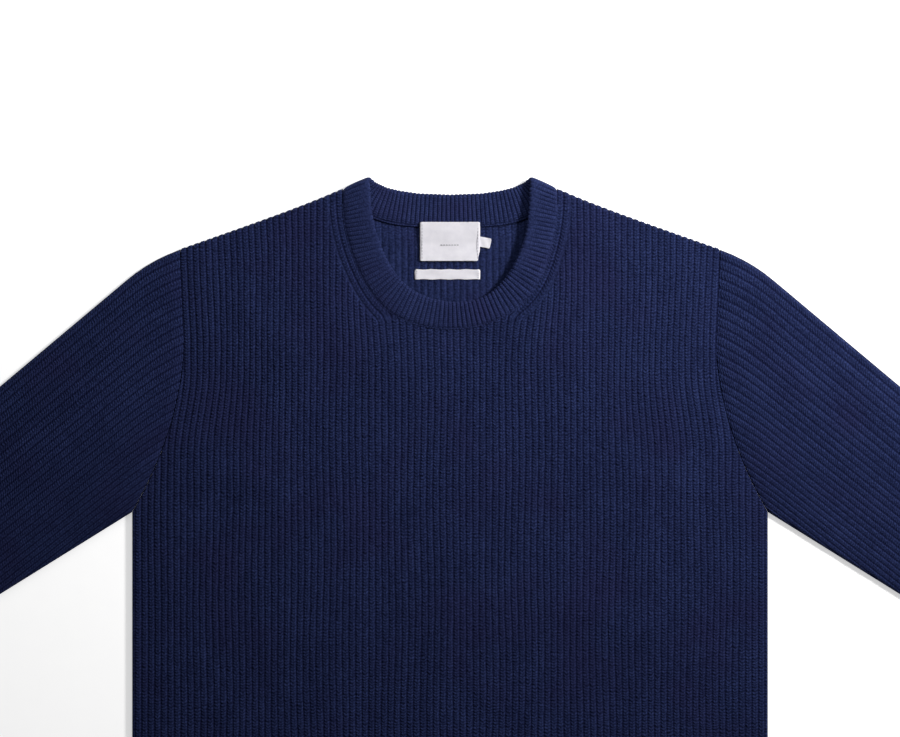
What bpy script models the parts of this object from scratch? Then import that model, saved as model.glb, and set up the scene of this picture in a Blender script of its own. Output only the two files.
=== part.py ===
"""A ribbed wool crewneck sweater, laid flat on its back with its sleeves spread.

Metres, +Z up. The wearer's head would be at +Y, and the front lies uppermost, so the wearer's left
sleeve is on the +X side. Plan heights are counted from the high shoulder points, where the collar
meets the shoulders. They are moved at the end, so that the origin is the middle of the whole
garment, on the surface it lies on.

Each piece is a cloth wall. Its columns follow the knitted ribs: one column runs along the crest
of a rib and the next along the groove beside it, so the ribs stand up from a plain inner side.
"""

import math

import bmesh
import bpy
import numpy as np

# Body, measured flat
CHEST = 0.560
BODY_RIBS = 98
BODY_LENGTH = 0.690
WELT = 0.065
HEM_WIDTH = 0.515
TAPER = 0.085  # stretch above the hem over which the body draws in to it
STEP = CHEST / BODY_RIBS / 2  # from a rib's crest to the groove beside it

# Shoulders and armholes
SHOULDER_SLOPE = 0.35
SHOULDER_HOLLOW = 0.0035  # extra fall close to the neck
HOLLOW_REACH = 0.030
TIP_X = 0.2376
UNDERARM_Y = -0.285
INNERMOST_Y = -0.1333  # where the armhole comes closest to the middle
ARMHOLE_POWER = 1.9  # how late the armhole turns out to the underarm
ARMHOLE_RIB = 85  # the column that runs up the armhole's edge
DRAW_IN = 0.009  # how far the edge ribs lean in below the armhole's innermost point
LEAN_START = 0.115
LEAN_HEAD, LEAN_FOOT = -0.160, -0.235  # the heights between which they lean
EXTRA_COLUMNS = (0.0001, 0.0003, 0.0006, 0.0011, 0.0018, 0.0042)  # past the armhole's rib
SPLIT_LOW, SPLIT_REACH = -0.160, 0.110  # where the columns' upper stretch begins, at the middle

# Neck, as two half ellipses: the seam and the folded free edge of the collar
SEAM_HALF, SEAM_TOP, SEAM_DROP = 0.0942, -0.0101, 0.1127
EDGE_HALF, EDGE_TOP, EDGE_DROP = 0.0704, -0.0013, 0.0972
BACK_SEAM_Y, BACK_SEAM_RISE, BACK_SEAM_POWER = -0.0330, 0.0275, 3.8
PARALLEL_RIBS = 2  # ribs that run along the neck seam before the upright ones begin
PARALLEL_FROM = 0.038  # distance from the middle where they turn upright
PARALLEL_BLEND = 0.016

# Cloth
WALL = 0.0016
RIB_RISE = 0.0013
GAP = 0.00035
BACK_WALL = 0.0020
BACK_RIB_RISE = 0.0007
FRONT_LEVEL = 0.0030  # underside of the front, just above the back
EDGE_FALL = 0.0011  # how much lower the cloth lies along a shoulder or side edge
ROLL_SHARE = 0.90  # share of a column's upper stretch above which it rolls down
NECK_LIFT, CENTRE_LIFT = 0.0028, 0.0010  # rise of the front at the collar
LIFT_FADE = 0.080

# Collar: a doubled band of fine rib
COLLAR_PITCH = 0.0038
COLLAR_HALF = 0.0022  # half its thickness
COLLAR_RIB_RISE = 0.0009
EDGE_SCALLOP = 0.0004
BAND_ROUND = 0.28  # share of its width over which it rounds off at each side
SEAM_THIN = 0.8  # its thickness at the seam, as a share of the full one
SEAM_RELIEF = 0.6  # what is left there of a rib's height
SEAM_HEIGHTS = (0.0056, 0.0074)  # middle of the front, and the shoulders
EDGE_HEIGHTS = (0.0062, 0.0110)

# Sleeves, measured flat
SLEEVE_LENGTH = 0.600  # shoulder tip to cuff
SLEEVE_RIBS = 28
CUFF_SEAM_WIDTH = 0.100
SLEEVE_ANGLE = math.radians(40)
CAP_RADIUS = 0.150
CUFF_LENGTH, CUFF_WIDTH, CUFF_RIBS = 0.065, 0.092, 24
SLEEVE_GAP = 0.0006  # along X, which leaves the usual gap where the armhole slants
FLOOR_POINTS = 12  # points of a sleeve's plain underside, round each section
TUBE_EDGE_Z = 0.0027
TUBE_TOP = FRONT_LEVEL + WALL
TUBE_FLOOR = 0.0018
TUBE_INNER_EDGE = 0.0024
SIDE_INSET = 0.0020
ROLL = 0.0030  # width over which a tube's edge rounds over

# Labels, from the middle of the neck
LABEL_SIZE = (0.0528, 0.0343)
LABEL_TOP_Y = -0.0295
LABEL_THICK = 0.0006
LABEL_CLEAR = 0.0004  # more than the usual gap, over the band's ribs
TAB_SIZE = (0.0092, 0.0090)
TAB_PLACE = (0.0316, -0.0482)
TAB_TURN = math.radians(-8)
STRIP_SIZE = (0.0572, 0.0088)
STRIP_PLACE = (-0.0022, -0.0755)

PEAK_Y = 0.0087  # the collar's highest corners, above the high shoulder points
Y_SHIFT = (BODY_LENGTH - PEAK_Y) / 2

NAVY = (0.013, 0.019, 0.070, 1.0)
LABEL_WHITE = (0.72, 0.71, 0.76, 1.0)

# One row for each section of the collar's fold at the high shoulder point, in metres: where its
# seam and its free edge lie, their heights, and the turn of the outer face in degrees, from up
# (0) to down (180)
COLLAR_FOLD = (
    # seam_x, seam_y, seam_z, edge_x, edge_y, edge_z, turn
    (0.0942, -0.0055, 0.0074, 0.0711, 0.0035, 0.0110, 0),
    (0.0937, -0.0037, 0.0066, 0.0710, 0.0072, 0.0097, 45),
    (0.0933, -0.0029, 0.0048, 0.0705, 0.0088, 0.0066, 90),
    (0.0931, -0.0040, 0.0029, 0.0690, 0.0080, 0.0035, 135),
)
# The same for the back of the collar, which lies flat; its seam follows the back neck
COLLAR_BACK = (
    # seam_x, edge_x, edge_y
    (0.0922, 0.0665, 0.0058),
    (0.0840, 0.0636, 0.0042),
    (0.0760, 0.0606, 0.0028),
    (0.0660, 0.0560, 0.0006),
    (0.0500, 0.0450, -0.0021),
    (0.0300, 0.0280, -0.0046),
    (0.0000, 0.0000, -0.0057),
)
FRONT_SECTIONS = 16  # rows worked out from the ellipses between the middle and the fold
FULL_RELIEF_X, NO_RELIEF_X = 0.070, 0.084  # where the back band's ribs come out of the fold


def clear_scene():
    """Removes what the file holds before the sweater is made."""
    for thing in list(bpy.data.objects):
        bpy.data.objects.remove(thing, do_unlink=True)


def make_material(name, colour, roughness):
    """A plain finish for one piece."""
    material = bpy.data.materials.new(name)
    material.use_nodes = True
    shader = material.node_tree.nodes["Principled BSDF"]
    shader.inputs["Base Color"].default_value = colour
    shader.inputs["Roughness"].default_value = roughness
    shader.inputs["Metallic"].default_value = 0.0
    return material


def smooth(t):
    """Eases from 0 to 1 as t does."""
    t = min(max(t, 0.0), 1.0)
    return t * t * (3 - 2 * t)


def mix(a, b, t):
    """The value t of the way from a to b."""
    return a + (b - a) * t


def zigzag(steps):
    """1 on a crest (even steps) and 0 in a groove (odd steps), straight between."""
    return abs(1 - (steps % 2))


class Cloth:
    """The points and faces of one wall. Points in one place are shared, so columns that run
    together close up by themselves."""

    def __init__(self):
        self.points = []
        self.faces = []
        self.known = {}

    def point(self, x, y, z):
        """The number of the point at this place in the plan."""
        key = (round(x, 6), round(y, 6), round(z, 6))
        if key not in self.known:
            self.known[key] = len(self.points)
            self.points.append((x, y + Y_SHIFT, z))
        return self.known[key]

    def face(self, corners):
        """Adds a face, unless it has closed up to nothing."""
        kept = [c for i, c in enumerate(corners) if c != corners[i - 1]]
        if len(set(kept)) == len(kept) > 2:
            self.faces.append(kept)

    def strip(self, first, second):
        """Four-sided faces between two rows of equal length."""
        for i in range(len(first) - 1):
            self.face([first[i], first[i + 1], second[i + 1], second[i]])

    def finish(self, name, material, collection):
        """Makes the object, with its faces turned outwards."""
        mesh = bpy.data.meshes.new(name)
        mesh.from_pydata(self.points, [], self.faces)
        shaping = bmesh.new()
        shaping.from_mesh(mesh)
        bmesh.ops.delete(
            shaping,
            geom=[v for v in shaping.verts if not v.link_faces],
            context="VERTS",
        )
        bmesh.ops.recalc_face_normals(shaping, faces=shaping.faces)
        shaping.to_mesh(mesh)
        shaping.free()
        mesh.shade_smooth()
        mesh.set_sharp_from_angle(angle=math.radians(40))
        mesh.materials.append(material)
        piece = bpy.data.objects.new(name, mesh)
        collection.objects.link(piece)
        return piece


def shoulder_y(x):
    """Height of the shoulder edge in plan."""
    out = abs(x) - SEAM_HALF
    return -SHOULDER_SLOPE * out - SHOULDER_HOLLOW * (1 - math.exp(-out / HOLLOW_REACH))


TIP_Y = shoulder_y(TIP_X)
ARMHOLE_X = ARMHOLE_RIB * STEP - DRAW_IN


def rib_x(start, y):
    """Where a rib that has the place start across the chest runs at the height y. Ribs near
    the armhole lean with its edge, and all of them draw in to the hem."""
    out = abs(start)
    near = smooth((out - LEAN_START) / (ARMHOLE_RIB * STEP - LEAN_START))
    drawn = DRAW_IN * smooth((y - LEAN_FOOT) / (LEAN_HEAD - LEAN_FOOT))
    spread = (TIP_X - ARMHOLE_X) * max(0.0, (y - INNERMOST_Y) / (TIP_Y - INNERMOST_Y))
    taper = smooth((y + BODY_LENGTH - WELT) / TAPER)
    width = mix(HEM_WIDTH / CHEST, 1.0, taper)
    return math.copysign((out - near * (drawn - spread)) * width, start)


def armhole_x(y):
    """The armhole's edge: straight down from the shoulder tip to its innermost point, then
    curving out to the underarm."""
    if y >= INNERMOST_Y:
        return mix(ARMHOLE_X, TIP_X, (y - INNERMOST_Y) / (TIP_Y - INNERMOST_Y))
    share = (INNERMOST_Y - y) / (INNERMOST_Y - UNDERARM_Y)
    return ARMHOLE_X + (CHEST / 2 - ARMHOLE_X) * share**ARMHOLE_POWER


def armhole_y(start):
    """Where the rib from the place start ends on the lower armhole, found by halving."""
    low, high = UNDERARM_Y, INNERMOST_Y
    for _ in range(40):
        middle = (low + high) / 2
        past = abs(rib_x(start, middle)) > armhole_x(middle)
        low, high = (low, middle) if past else (middle, high)
    return (low + high) / 2


def front_seam_y(x, outward):
    """The front neck edge at x, outward from the collar's seam. None beside the neck."""
    half, drop = SEAM_HALF + outward, SEAM_DROP + outward
    if abs(x) >= half:
        return None
    return SEAM_TOP - drop * math.sqrt(1 - (x / half) ** 2)


def back_seam_line(x):
    """The collar's seam across the back of the neck."""
    share = abs(x) / SEAM_HALF
    return BACK_SEAM_Y + BACK_SEAM_RISE * share**BACK_SEAM_POWER


def back_seam_y(x):
    """The back neck edge at x, just clear of the collar."""
    return back_seam_line(max(abs(x) - GAP, 0.0)) - GAP


def seam_distance(x, y):
    """How far a point of the front lies from the neck seam, about."""
    if y > SEAM_TOP:
        return abs(x) - SEAM_HALF - GAP
    low, high = 0.0, 0.5
    for _ in range(30):
        middle = (low + high) / 2
        edge = front_seam_y(x, middle + GAP)
        nearer = edge is not None and y > edge
        low, high = (low, middle) if nearer else (middle, high)
    return (low + high) / 2


def front_relief(start, x, y):
    """Height of the front's ribs: upright ones, and a few along the neck seam."""
    upright = zigzag(start / STEP)
    away = seam_distance(x, y)
    reach = 2 * PARALLEL_RIBS * STEP
    if y < SEAM_TOP - SEAM_DROP - 2 * reach or away > reach + STEP / 4:
        return RIB_RISE * upright
    along = zigzag(away / STEP + 1)
    turned = smooth((abs(x) - PARALLEL_FROM) / PARALLEL_BLEND)
    return RIB_RISE * mix(upright, along, turned)


def split_y(start):
    """The height where a rib's lower stretch ends and its upper one begins."""
    outward = smooth((abs(start) - SPLIT_REACH) / SPLIT_REACH)
    return mix(SPLIT_LOW, INNERMOST_Y, outward)


def shoulder_top(start):
    """Where the rib from the place start meets the shoulder edge, found by repeating."""
    top = shoulder_y(start)
    for _ in range(8):
        top = shoulder_y(rib_x(start, top))
    return top


def upper_heights_front(start):
    """Heights of the front's points above the split along one rib: where it crosses the
    parallel ribs and the neck seam, or else the last stretch below the shoulder."""
    low = split_y(start)
    reach = 2 * PARALLEL_RIBS
    along = [front_seam_y(start, n * STEP + GAP) for n in range(reach, -1, -1)]
    met = [y for y in along if y is not None]
    if abs(start) >= SEAM_HALF + GAP:
        top = shoulder_top(start)
        if not met:
            met = [top - reach * STEP]
        missing = reach + 1 - len(met)
        met += [mix(met[-1], top, (n + 1) / missing) for n in range(missing)]
    return [low, mix(low, met[0], 0.5), *met]


def upper_heights_back(start):
    """Heights of the back's points above the split along one rib."""
    low = split_y(start)
    in_neck = abs(start) < SEAM_HALF + GAP
    top = back_seam_y(start) if in_neck else shoulder_top(start)
    return [low, mix(low, top, 0.25), top]


def panel_columns(every):
    """Places of the columns across the chest. every is the share of ribs kept away from the
    neck and armholes; extra columns follow the steep stretches of the edges."""
    ribs = BODY_RIBS
    inner = range(-ARMHOLE_RIB, ARMHOLE_RIB + 1)
    neck_reach = math.ceil(SEAM_HALF / STEP)
    kept = [k for k in inner if abs(k) <= neck_reach or k % every == 0]
    outer = [k for k in range(ARMHOLE_RIB, ribs + 1)]
    places = {k * STEP for k in kept} | {s * k * STEP for k in outer for s in (-1, 1)}
    neck_extra = (SEAM_HALF + GAP, SEAM_HALF - 0.0010)
    armhole_extra = [ARMHOLE_RIB * STEP + past for past in EXTRA_COLUMNS]
    for place in (*neck_extra, *armhole_extra):
        places |= {place, -place}
    return sorted(places)


def make_panel(name, columns, lower_shares, upper_heights, top_z, under_z, looks):
    """A body panel. Each column runs from the hem seam to the split, and the inner ones on
    to the neck or shoulder."""
    cloth = Cloth()
    hem_y = WELT - BODY_LENGTH
    lower, upper, under = [], [], []
    for start in columns:
        inner = abs(start) <= ARMHOLE_RIB * STEP + 1e-9
        end = split_y(start) if inner else armhole_y(start)
        heights = [mix(hem_y, end, share) for share in lower_shares]
        rows = [(rib_x(start, y), y, top_z(start, y, 0.0)) for y in heights]
        lower.append([cloth.point(*p) for p in rows])
        below = [cloth.point(p[0], p[1], under_z(start, 0.0)) for p in (rows[0], rows[-1])]
        if inner:
            heights = upper_heights(start)
            top = heights[-1]
            rows = []
            for y in heights:
                share = (y - heights[0]) / (top - heights[0])
                rows.append((rib_x(start, y), y, top_z(start, y, share)))
            upper.append([cloth.point(*p) for p in rows])
            x, y, _ = rows[-1]
            below.append(cloth.point(x, y, under_z(start, 1.0)))
        under.append(below)
    for a, b in zip(lower, lower[1:]):
        cloth.strip(a, b)
    for a, b in zip(upper, upper[1:]):
        cloth.strip(a, b)
    close_panel(cloth, columns, lower, upper, under, lower_shares)
    return cloth.finish(name, *looks)


def close_panel(cloth, columns, lower, upper, under, lower_shares):
    """The underside and the edges of a body panel."""
    inner = [i for i, below in enumerate(under) if len(below) == 3]
    first, last = inner[0], inner[-1]
    for i in inner[:-1]:
        cloth.face([under[i][1], under[i][2], under[i + 1][2], under[i + 1][1]])
        top, beside = upper[i - first][-1], upper[i + 1 - first][-1]
        cloth.face([under[i][2], top, beside, under[i + 1][2]])
    for i in [*range(first), *range(last, len(columns) - 1)]:
        cloth.face([under[i][1], lower[i][-1], lower[i + 1][-1], under[i + 1][1]])
    for edge, below in ((upper[0], under[first]), (upper[-1], under[last])):
        cloth.face([below[1], *edge, below[2]])
    # where the body draws in to the hem, the underside turns the same corner as the top
    corners = []
    for column, below in ((lower[0], under[0]), (lower[-1], under[-1])):
        x, y, _ = cloth.points[column[1]]
        level = cloth.points[below[0]][2]
        corners.append(cloth.point(x, y - Y_SHIFT, level))
        cloth.face([below[0], column[0], column[1], corners[-1]])
        cloth.face([corners[-1], *column[1:], below[1]])
    hem = [below[0] for below in (under[0], under[-1])]
    cloth.face([hem[0], *[column[0] for column in lower], hem[1]])
    across = [below[1] for below in under]
    cloth.face([corners[0], *across, corners[1]])
    cloth.face([hem[0], corners[0], corners[1], hem[1]])


def edge_fall(start, share):
    """How far the cloth rolls down beside the shoulder and side edges."""
    side = smooth((abs(start) - CHEST / 2 + 2 * STEP) / (2 * STEP))
    beside = smooth((abs(start) - SEAM_HALF) / STEP)
    near_top = smooth((share - ROLL_SHARE) / (1 - ROLL_SHARE))
    return EDGE_FALL * max(side, beside * near_top)


def front_top(start, y, share):
    """Upper side of the front."""
    x = rib_x(start, y)
    out = abs(start)
    at_neck = mix(CENTRE_LIFT, NECK_LIFT, smooth(out / SEAM_HALF))
    lift = at_neck * (1 - smooth((out - SEAM_HALF) / LIFT_FADE)) * share
    fall = edge_fall(start, share)
    return FRONT_LEVEL + WALL + lift + front_relief(start, x, y) - fall


def front_under(start, share):
    """Plain underside of the front, raised where it meets the collar."""
    if share == 0.0 or abs(start) >= SEAM_HALF + GAP:
        return FRONT_LEVEL
    return FRONT_LEVEL + mix(CENTRE_LIFT, NECK_LIFT, smooth(abs(start) / SEAM_HALF))


def back_top(start, y, share):
    """Inner side of the back: ribbed where it shows through the neck."""
    shown = share > 0.0 and abs(start) <= SEAM_HALF - 2 * STEP
    return BACK_WALL + (BACK_RIB_RISE * zigzag(start / STEP) if shown else 0.0)


def make_front(looks):
    """The front body panel."""
    hem_y = WELT - BODY_LENGTH
    rise = INNERMOST_Y - hem_y
    lean = [(y - hem_y) / rise for y in (LEAN_FOOT, LEAN_HEAD)]
    shares = (0.0, TAPER / rise, *lean, 1.0)
    return make_panel(
        "front_panel", panel_columns(1), shares, upper_heights_front, front_top, front_under, looks
    )


def make_back(looks):
    """The back body panel, flat on the surface."""
    return make_panel(
        "back_panel",
        panel_columns(8),
        (0.0, TAPER / (INNERMOST_Y - WELT + BODY_LENGTH), 1.0),
        upper_heights_back,
        back_top,
        lambda start, share: 0.0,
        looks,
    )


def make_hems(looks):
    """The fine-ribbed front hem, and the plain back hem under it."""
    count = round(HEM_WIDTH / COLLAR_PITCH)
    across = np.linspace(-HEM_WIDTH / 2, HEM_WIDTH / 2, 2 * count + 1)
    upper, lower = WELT - BODY_LENGTH - GAP, -BODY_LENGTH
    level = FRONT_LEVEL + WALL - EDGE_FALL / 2
    front = Cloth()
    ends = []
    for y in (lower, upper):
        edge = [
            front.point(x, y, level + COLLAR_RIB_RISE * zigzag(k + 1))
            for k, x in enumerate(across)
        ]
        foot = [front.point(x, y, FRONT_LEVEL) for x in (across[-1], across[0])]
        front.face([*edge, *foot])
        ends.append((edge, foot))
    (low_edge, low_foot), (high_edge, high_foot) = ends
    front.strip(low_edge, high_edge)
    front.face([low_foot[0], low_foot[1], high_foot[1], high_foot[0]])
    front.face([low_edge[0], high_edge[0], high_foot[1], low_foot[1]])
    front.face([low_edge[-1], high_edge[-1], high_foot[0], low_foot[0]])
    front.finish("front_hem", *looks)
    make_slab(
        "back_hem",
        (HEM_WIDTH, upper - lower, FRONT_LEVEL - GAP),
        (0.0, (upper + lower) / 2, (FRONT_LEVEL - GAP) / 2),
        looks,
    )


def make_slab(name, size, centre, looks, turn=0.0, tilt=0.0, bevel=0.0):
    """A thin plain plate, from a cube."""
    material, collection = looks
    mesh = bpy.data.meshes.new(name)
    shaping = bmesh.new()
    bmesh.ops.create_cube(shaping, size=1.0)
    bmesh.ops.scale(shaping, vec=size, verts=shaping.verts)
    shaping.to_mesh(mesh)
    shaping.free()
    mesh.materials.append(material)
    plate = bpy.data.objects.new(name, mesh)
    plate.location = (centre[0], centre[1] + Y_SHIFT, centre[2])
    plate.rotation_euler = (tilt, 0.0, turn)
    if bevel:
        rounding = plate.modifiers.new("corners", "BEVEL")
        rounding.width = bevel
        rounding.segments = 1
    collection.objects.link(plate)
    return plate


def front_section(share):
    """A row of the collar from the middle of the front (0) to below the fold (1)."""
    angle = math.pi / 2 * (1 - share)
    seam = (SEAM_HALF * math.cos(angle), SEAM_TOP - SEAM_DROP * math.sin(angle))
    edge = (EDGE_HALF * math.cos(angle), EDGE_TOP - EDGE_DROP * math.sin(angle))
    raised = math.cos(angle) ** 2
    seam_z = mix(*SEAM_HEIGHTS, raised)
    edge_z = mix(*EDGE_HEIGHTS, raised)
    return (*seam, seam_z, *edge, edge_z, 0)


def collar_rows():
    """Half the collar's sections, a crest or a groove each, spaced evenly along its middle."""
    keys = [front_section(n / FRONT_SECTIONS) for n in range(FRONT_SECTIONS + 1)]
    flat = COLLAR_HALF
    back = [(sx, back_seam_line(sx), flat, ex, ey, flat, 180) for sx, ex, ey in COLLAR_BACK]
    keys = np.array([*keys, *COLLAR_FOLD, *back], dtype=float)
    middle = (keys[:, 0:3] + keys[:, 3:6]) / 2
    run = np.concatenate([[0], np.cumsum(np.linalg.norm(np.diff(middle, axis=0), axis=1))])
    places = np.linspace(0, run[-1], round(run[-1] / (COLLAR_PITCH / 2)) + 1)
    rows = np.array([np.interp(places, run, column) for column in keys.T]).T
    for row in rows[rows[:, 6] == 180]:
        row[1] = back_seam_line(row[0])
    return rows


def collar_ring(row, number, side):
    """The six corners of one section of the collar. side mirrors it."""
    seam, edge = np.array(row[0:3]), np.array(row[3:6])
    turn = math.radians(row[6])
    outer = np.array([0.0, math.sin(turn), math.cos(turn)])
    across = edge - seam
    width = np.linalg.norm(across)
    across /= width
    outer -= across * (outer @ across)
    outer /= np.linalg.norm(outer)
    crest = zigzag(number)
    on_outer = COLLAR_RIB_RISE * crest * (1 - smooth(row[6] / 90))
    shown = smooth((NO_RELIEF_X - abs(row[0])) / (NO_RELIEF_X - FULL_RELIEF_X))
    on_inner = COLLAR_RIB_RISE * crest * (shown if row[6] == 180 else 0.0)
    nose = EDGE_SCALLOP * crest
    near, far = across * width * BAND_ROUND, across * width * (1 - BAND_ROUND)
    corners = (
        seam + outer * COLLAR_HALF * SEAM_THIN,
        seam + near + outer * (COLLAR_HALF + on_outer),
        seam + far + outer * (COLLAR_HALF + on_outer),
        edge + across * nose,
        seam + far - outer * (COLLAR_HALF + on_inner),
        seam - outer * (COLLAR_HALF * SEAM_THIN + on_inner * SEAM_RELIEF),
    )
    return [(side * p[0], p[1], p[2]) for p in corners]


def make_collar(looks):
    """The doubled collar band, all round the neck and folded over at both shoulders."""
    rows = collar_rows()
    numbered = [(row, n, 1) for n, row in enumerate(rows)]
    numbered += [(row, n, -1) for n, row in reversed(list(enumerate(rows))[1:-1])]
    cloth = Cloth()
    rings = []
    for row, number, side in numbered:
        rings.append([cloth.point(*p) for p in collar_ring(row, number, side)])
    for ring, beside in zip(rings, rings[1:] + rings[:1]):
        cloth.strip([*ring, ring[0]], [*beside, beside[0]])
    return cloth.finish("collar", *looks)


def armhole_line(share):
    """The sleeve's own edge along the armhole, from the shoulder tip (0) to the underarm."""
    y = mix(TIP_Y, UNDERARM_Y, share)
    return armhole_x(y) + SLEEVE_GAP, y


def overarm(length):
    """A point of the sleeve's upper edge, length away from the shoulder tip: a bend off the
    shoulder's slope, then straight."""
    start = math.atan(SHOULDER_SLOPE)
    bend = CAP_RADIUS * (SLEEVE_ANGLE - start)
    angle = start + min(length, bend) / CAP_RADIUS
    x0, y0 = armhole_line(0.0)
    x = x0 + CAP_RADIUS * (math.sin(angle) - math.sin(start))
    y = y0 - CAP_RADIUS * (math.cos(start) - math.cos(angle))
    rest = max(0.0, length - bend)
    return x + rest * math.cos(SLEEVE_ANGLE), y - rest * math.sin(SLEEVE_ANGLE)


def sleeve_place(run, share):
    """A place on the sleeve's plan: run along it and share across it from the upper edge. The
    four edges are blended into one surface."""
    ax, ay = armhole_line(share)
    ox, oy = overarm(run * SLEEVE_LENGTH)
    ux, uy = armhole_line(1.0)
    tx, ty = armhole_line(0.0)
    ex, ey = overarm(SLEEVE_LENGTH)
    down = (-math.sin(SLEEVE_ANGLE), -math.cos(SLEEVE_ANGLE))
    cx, cy = (e + CUFF_SEAM_WIDTH * d for e, d in zip((ex, ey), down))
    places = []
    for arm, over, tip, under, end, cuff in (
        (ax, ox, tx, ux, ex, cx),
        (ay, oy, ty, uy, ey, cy),
    ):
        along = (1 - run) * arm + run * mix(end, cuff, share)
        beside = (1 - share) * over + share * mix(under, cuff, run)
        corners = mix(mix(tip, end, run), mix(under, cuff, run), share)
        places.append(along + beside - corners)
    return places


def make_tube(name, place, widths, step, ribs, rise, floor_points, side, looks):
    """A flattened tube, open at both ends. place(run, share) gives its plan, widths its width
    at each run, and step the distance from a crest to a groove across it. Ribs that no longer
    fit its width end at its lower edge."""
    cloth = Cloth()
    outer, inner = [], []
    for run, width in widths:
        ring, lining = [], []
        for k in range(2 * ribs + 1):
            across = min(k * step, width)
            near = min(across, width - across)
            roll = math.sqrt(1 - (1 - min(near / ROLL, 1.0)) ** 2)
            crest = rise * zigzag(k + 1) * roll
            ring.append((across, mix(TUBE_EDGE_Z, TUBE_TOP, roll) + crest))
            kept = min(max(across, SIDE_INSET), width - SIDE_INSET)
            depth = min(kept - SIDE_INSET, width - SIDE_INSET - kept)
            level = mix(TUBE_INNER_EDGE, FRONT_LEVEL, min(depth / SIDE_INSET, 1.0))
            lining.append((kept, level))
        foot = 2 * SIDE_INSET
        for n in range(floor_points + 1):
            share = 1 - n / floor_points
            ring.append((mix(SIDE_INSET, width - SIDE_INSET, share), 0.0))
            lining.append((mix(foot, width - foot, share), TUBE_FLOOR))
        for loop, rings in ((ring, outer), (lining, inner)):
            numbers = []
            for across, z in loop:
                x, y = place(run, across / width)
                numbers.append(cloth.point(side * x, y, z))
            rings.append([*numbers, numbers[0]])
    for rings in (outer, inner):
        for a, b in zip(rings, rings[1:]):
            cloth.strip(a, b)
    cloth.strip(outer[0], inner[0])
    cloth.strip(outer[-1], inner[-1])
    return cloth.finish(name, *looks)


def make_sleeve(name, side, looks):
    """A sleeve, from the armhole to the cuff."""
    runs = (0.0, 0.05, 0.11, 0.30, 0.65, 1.0)
    full = 2 * SLEEVE_RIBS * STEP
    widths = [(run, mix(full, CUFF_SEAM_WIDTH, run)) for run in runs]
    sizes = (widths, STEP, SLEEVE_RIBS, RIB_RISE, FLOOR_POINTS)
    make_tube(name, sleeve_place, *sizes, side, looks)


def make_cuff(name, side, looks):
    """A fine-ribbed cuff at a sleeve's end."""
    ex, ey = overarm(SLEEVE_LENGTH)
    along = (math.cos(SLEEVE_ANGLE), -math.sin(SLEEVE_ANGLE))
    down = (-math.sin(SLEEVE_ANGLE), -math.cos(SLEEVE_ANGLE))
    margin = (CUFF_SEAM_WIDTH - CUFF_WIDTH) / 2

    def place(run, share):
        far = GAP + run * CUFF_LENGTH
        across = margin + share * CUFF_WIDTH
        return [e + far * a + across * d for e, a, d in zip((ex, ey), along, down)]

    widths = [(0.0, CUFF_WIDTH), (1.0, CUFF_WIDTH)]
    step = CUFF_WIDTH / CUFF_RIBS / 2
    make_tube(name, place, widths, step, CUFF_RIBS, COLLAR_RIB_RISE, 1, side, looks)


def make_labels(looks):
    """Three blank woven labels inside the back neck."""
    rest = BACK_WALL + BACK_RIB_RISE + GAP
    over_band = 2 * COLLAR_HALF + COLLAR_RIB_RISE + GAP
    high = over_band + LABEL_CLEAR
    width, length = LABEL_SIZE
    tilt = math.atan2(high - rest, length)
    centre_z = (high + rest) / 2 + LABEL_THICK / 2
    make_slab(
        "neck_label",
        (width, length, LABEL_THICK),
        (0.0, LABEL_TOP_Y - length / 2, centre_z),
        looks,
        tilt=tilt,
    )
    make_slab(
        "size_tab",
        (*TAB_SIZE, LABEL_THICK),
        (*TAB_PLACE, rest + LABEL_THICK / 2),
        looks,
        turn=TAB_TURN,
    )
    make_slab(
        "care_strip",
        (*STRIP_SIZE, LABEL_THICK),
        (*STRIP_PLACE, rest + LABEL_THICK / 2),
        looks,
    )


def main():
    """Builds every piece of the sweater."""
    clear_scene()
    sweater = bpy.data.collections.new("crewneck_sweater")
    bpy.context.scene.collection.children.link(sweater)
    body = make_material("body_knit", NAVY, 0.95)
    rib = make_material("rib_knit", NAVY, 0.92)
    woven = make_material("woven_label", LABEL_WHITE, 0.55)
    make_front((body, sweater))
    make_back((body, sweater))
    make_hems((rib, sweater))
    make_collar((rib, sweater))
    for name, side in (("left", 1), ("right", -1)):
        make_sleeve(f"{name}_sleeve", side, (body, sweater))
        make_cuff(f"{name}_cuff", side, (rib, sweater))
    make_labels((woven, sweater))


main()
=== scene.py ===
"""A navy ribbed wool crewneck sweater, laid flat with its front uppermost: how it looks.

Metres, +Z up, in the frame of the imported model: +Y is towards the wearer's head and +X towards
the wearer's left. Each knitted piece is a thin closed shell with ribs, on the form of its solid.
It starts as a grid whose columns run along the ribs, with several columns to a rib.
"""

import math

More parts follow.
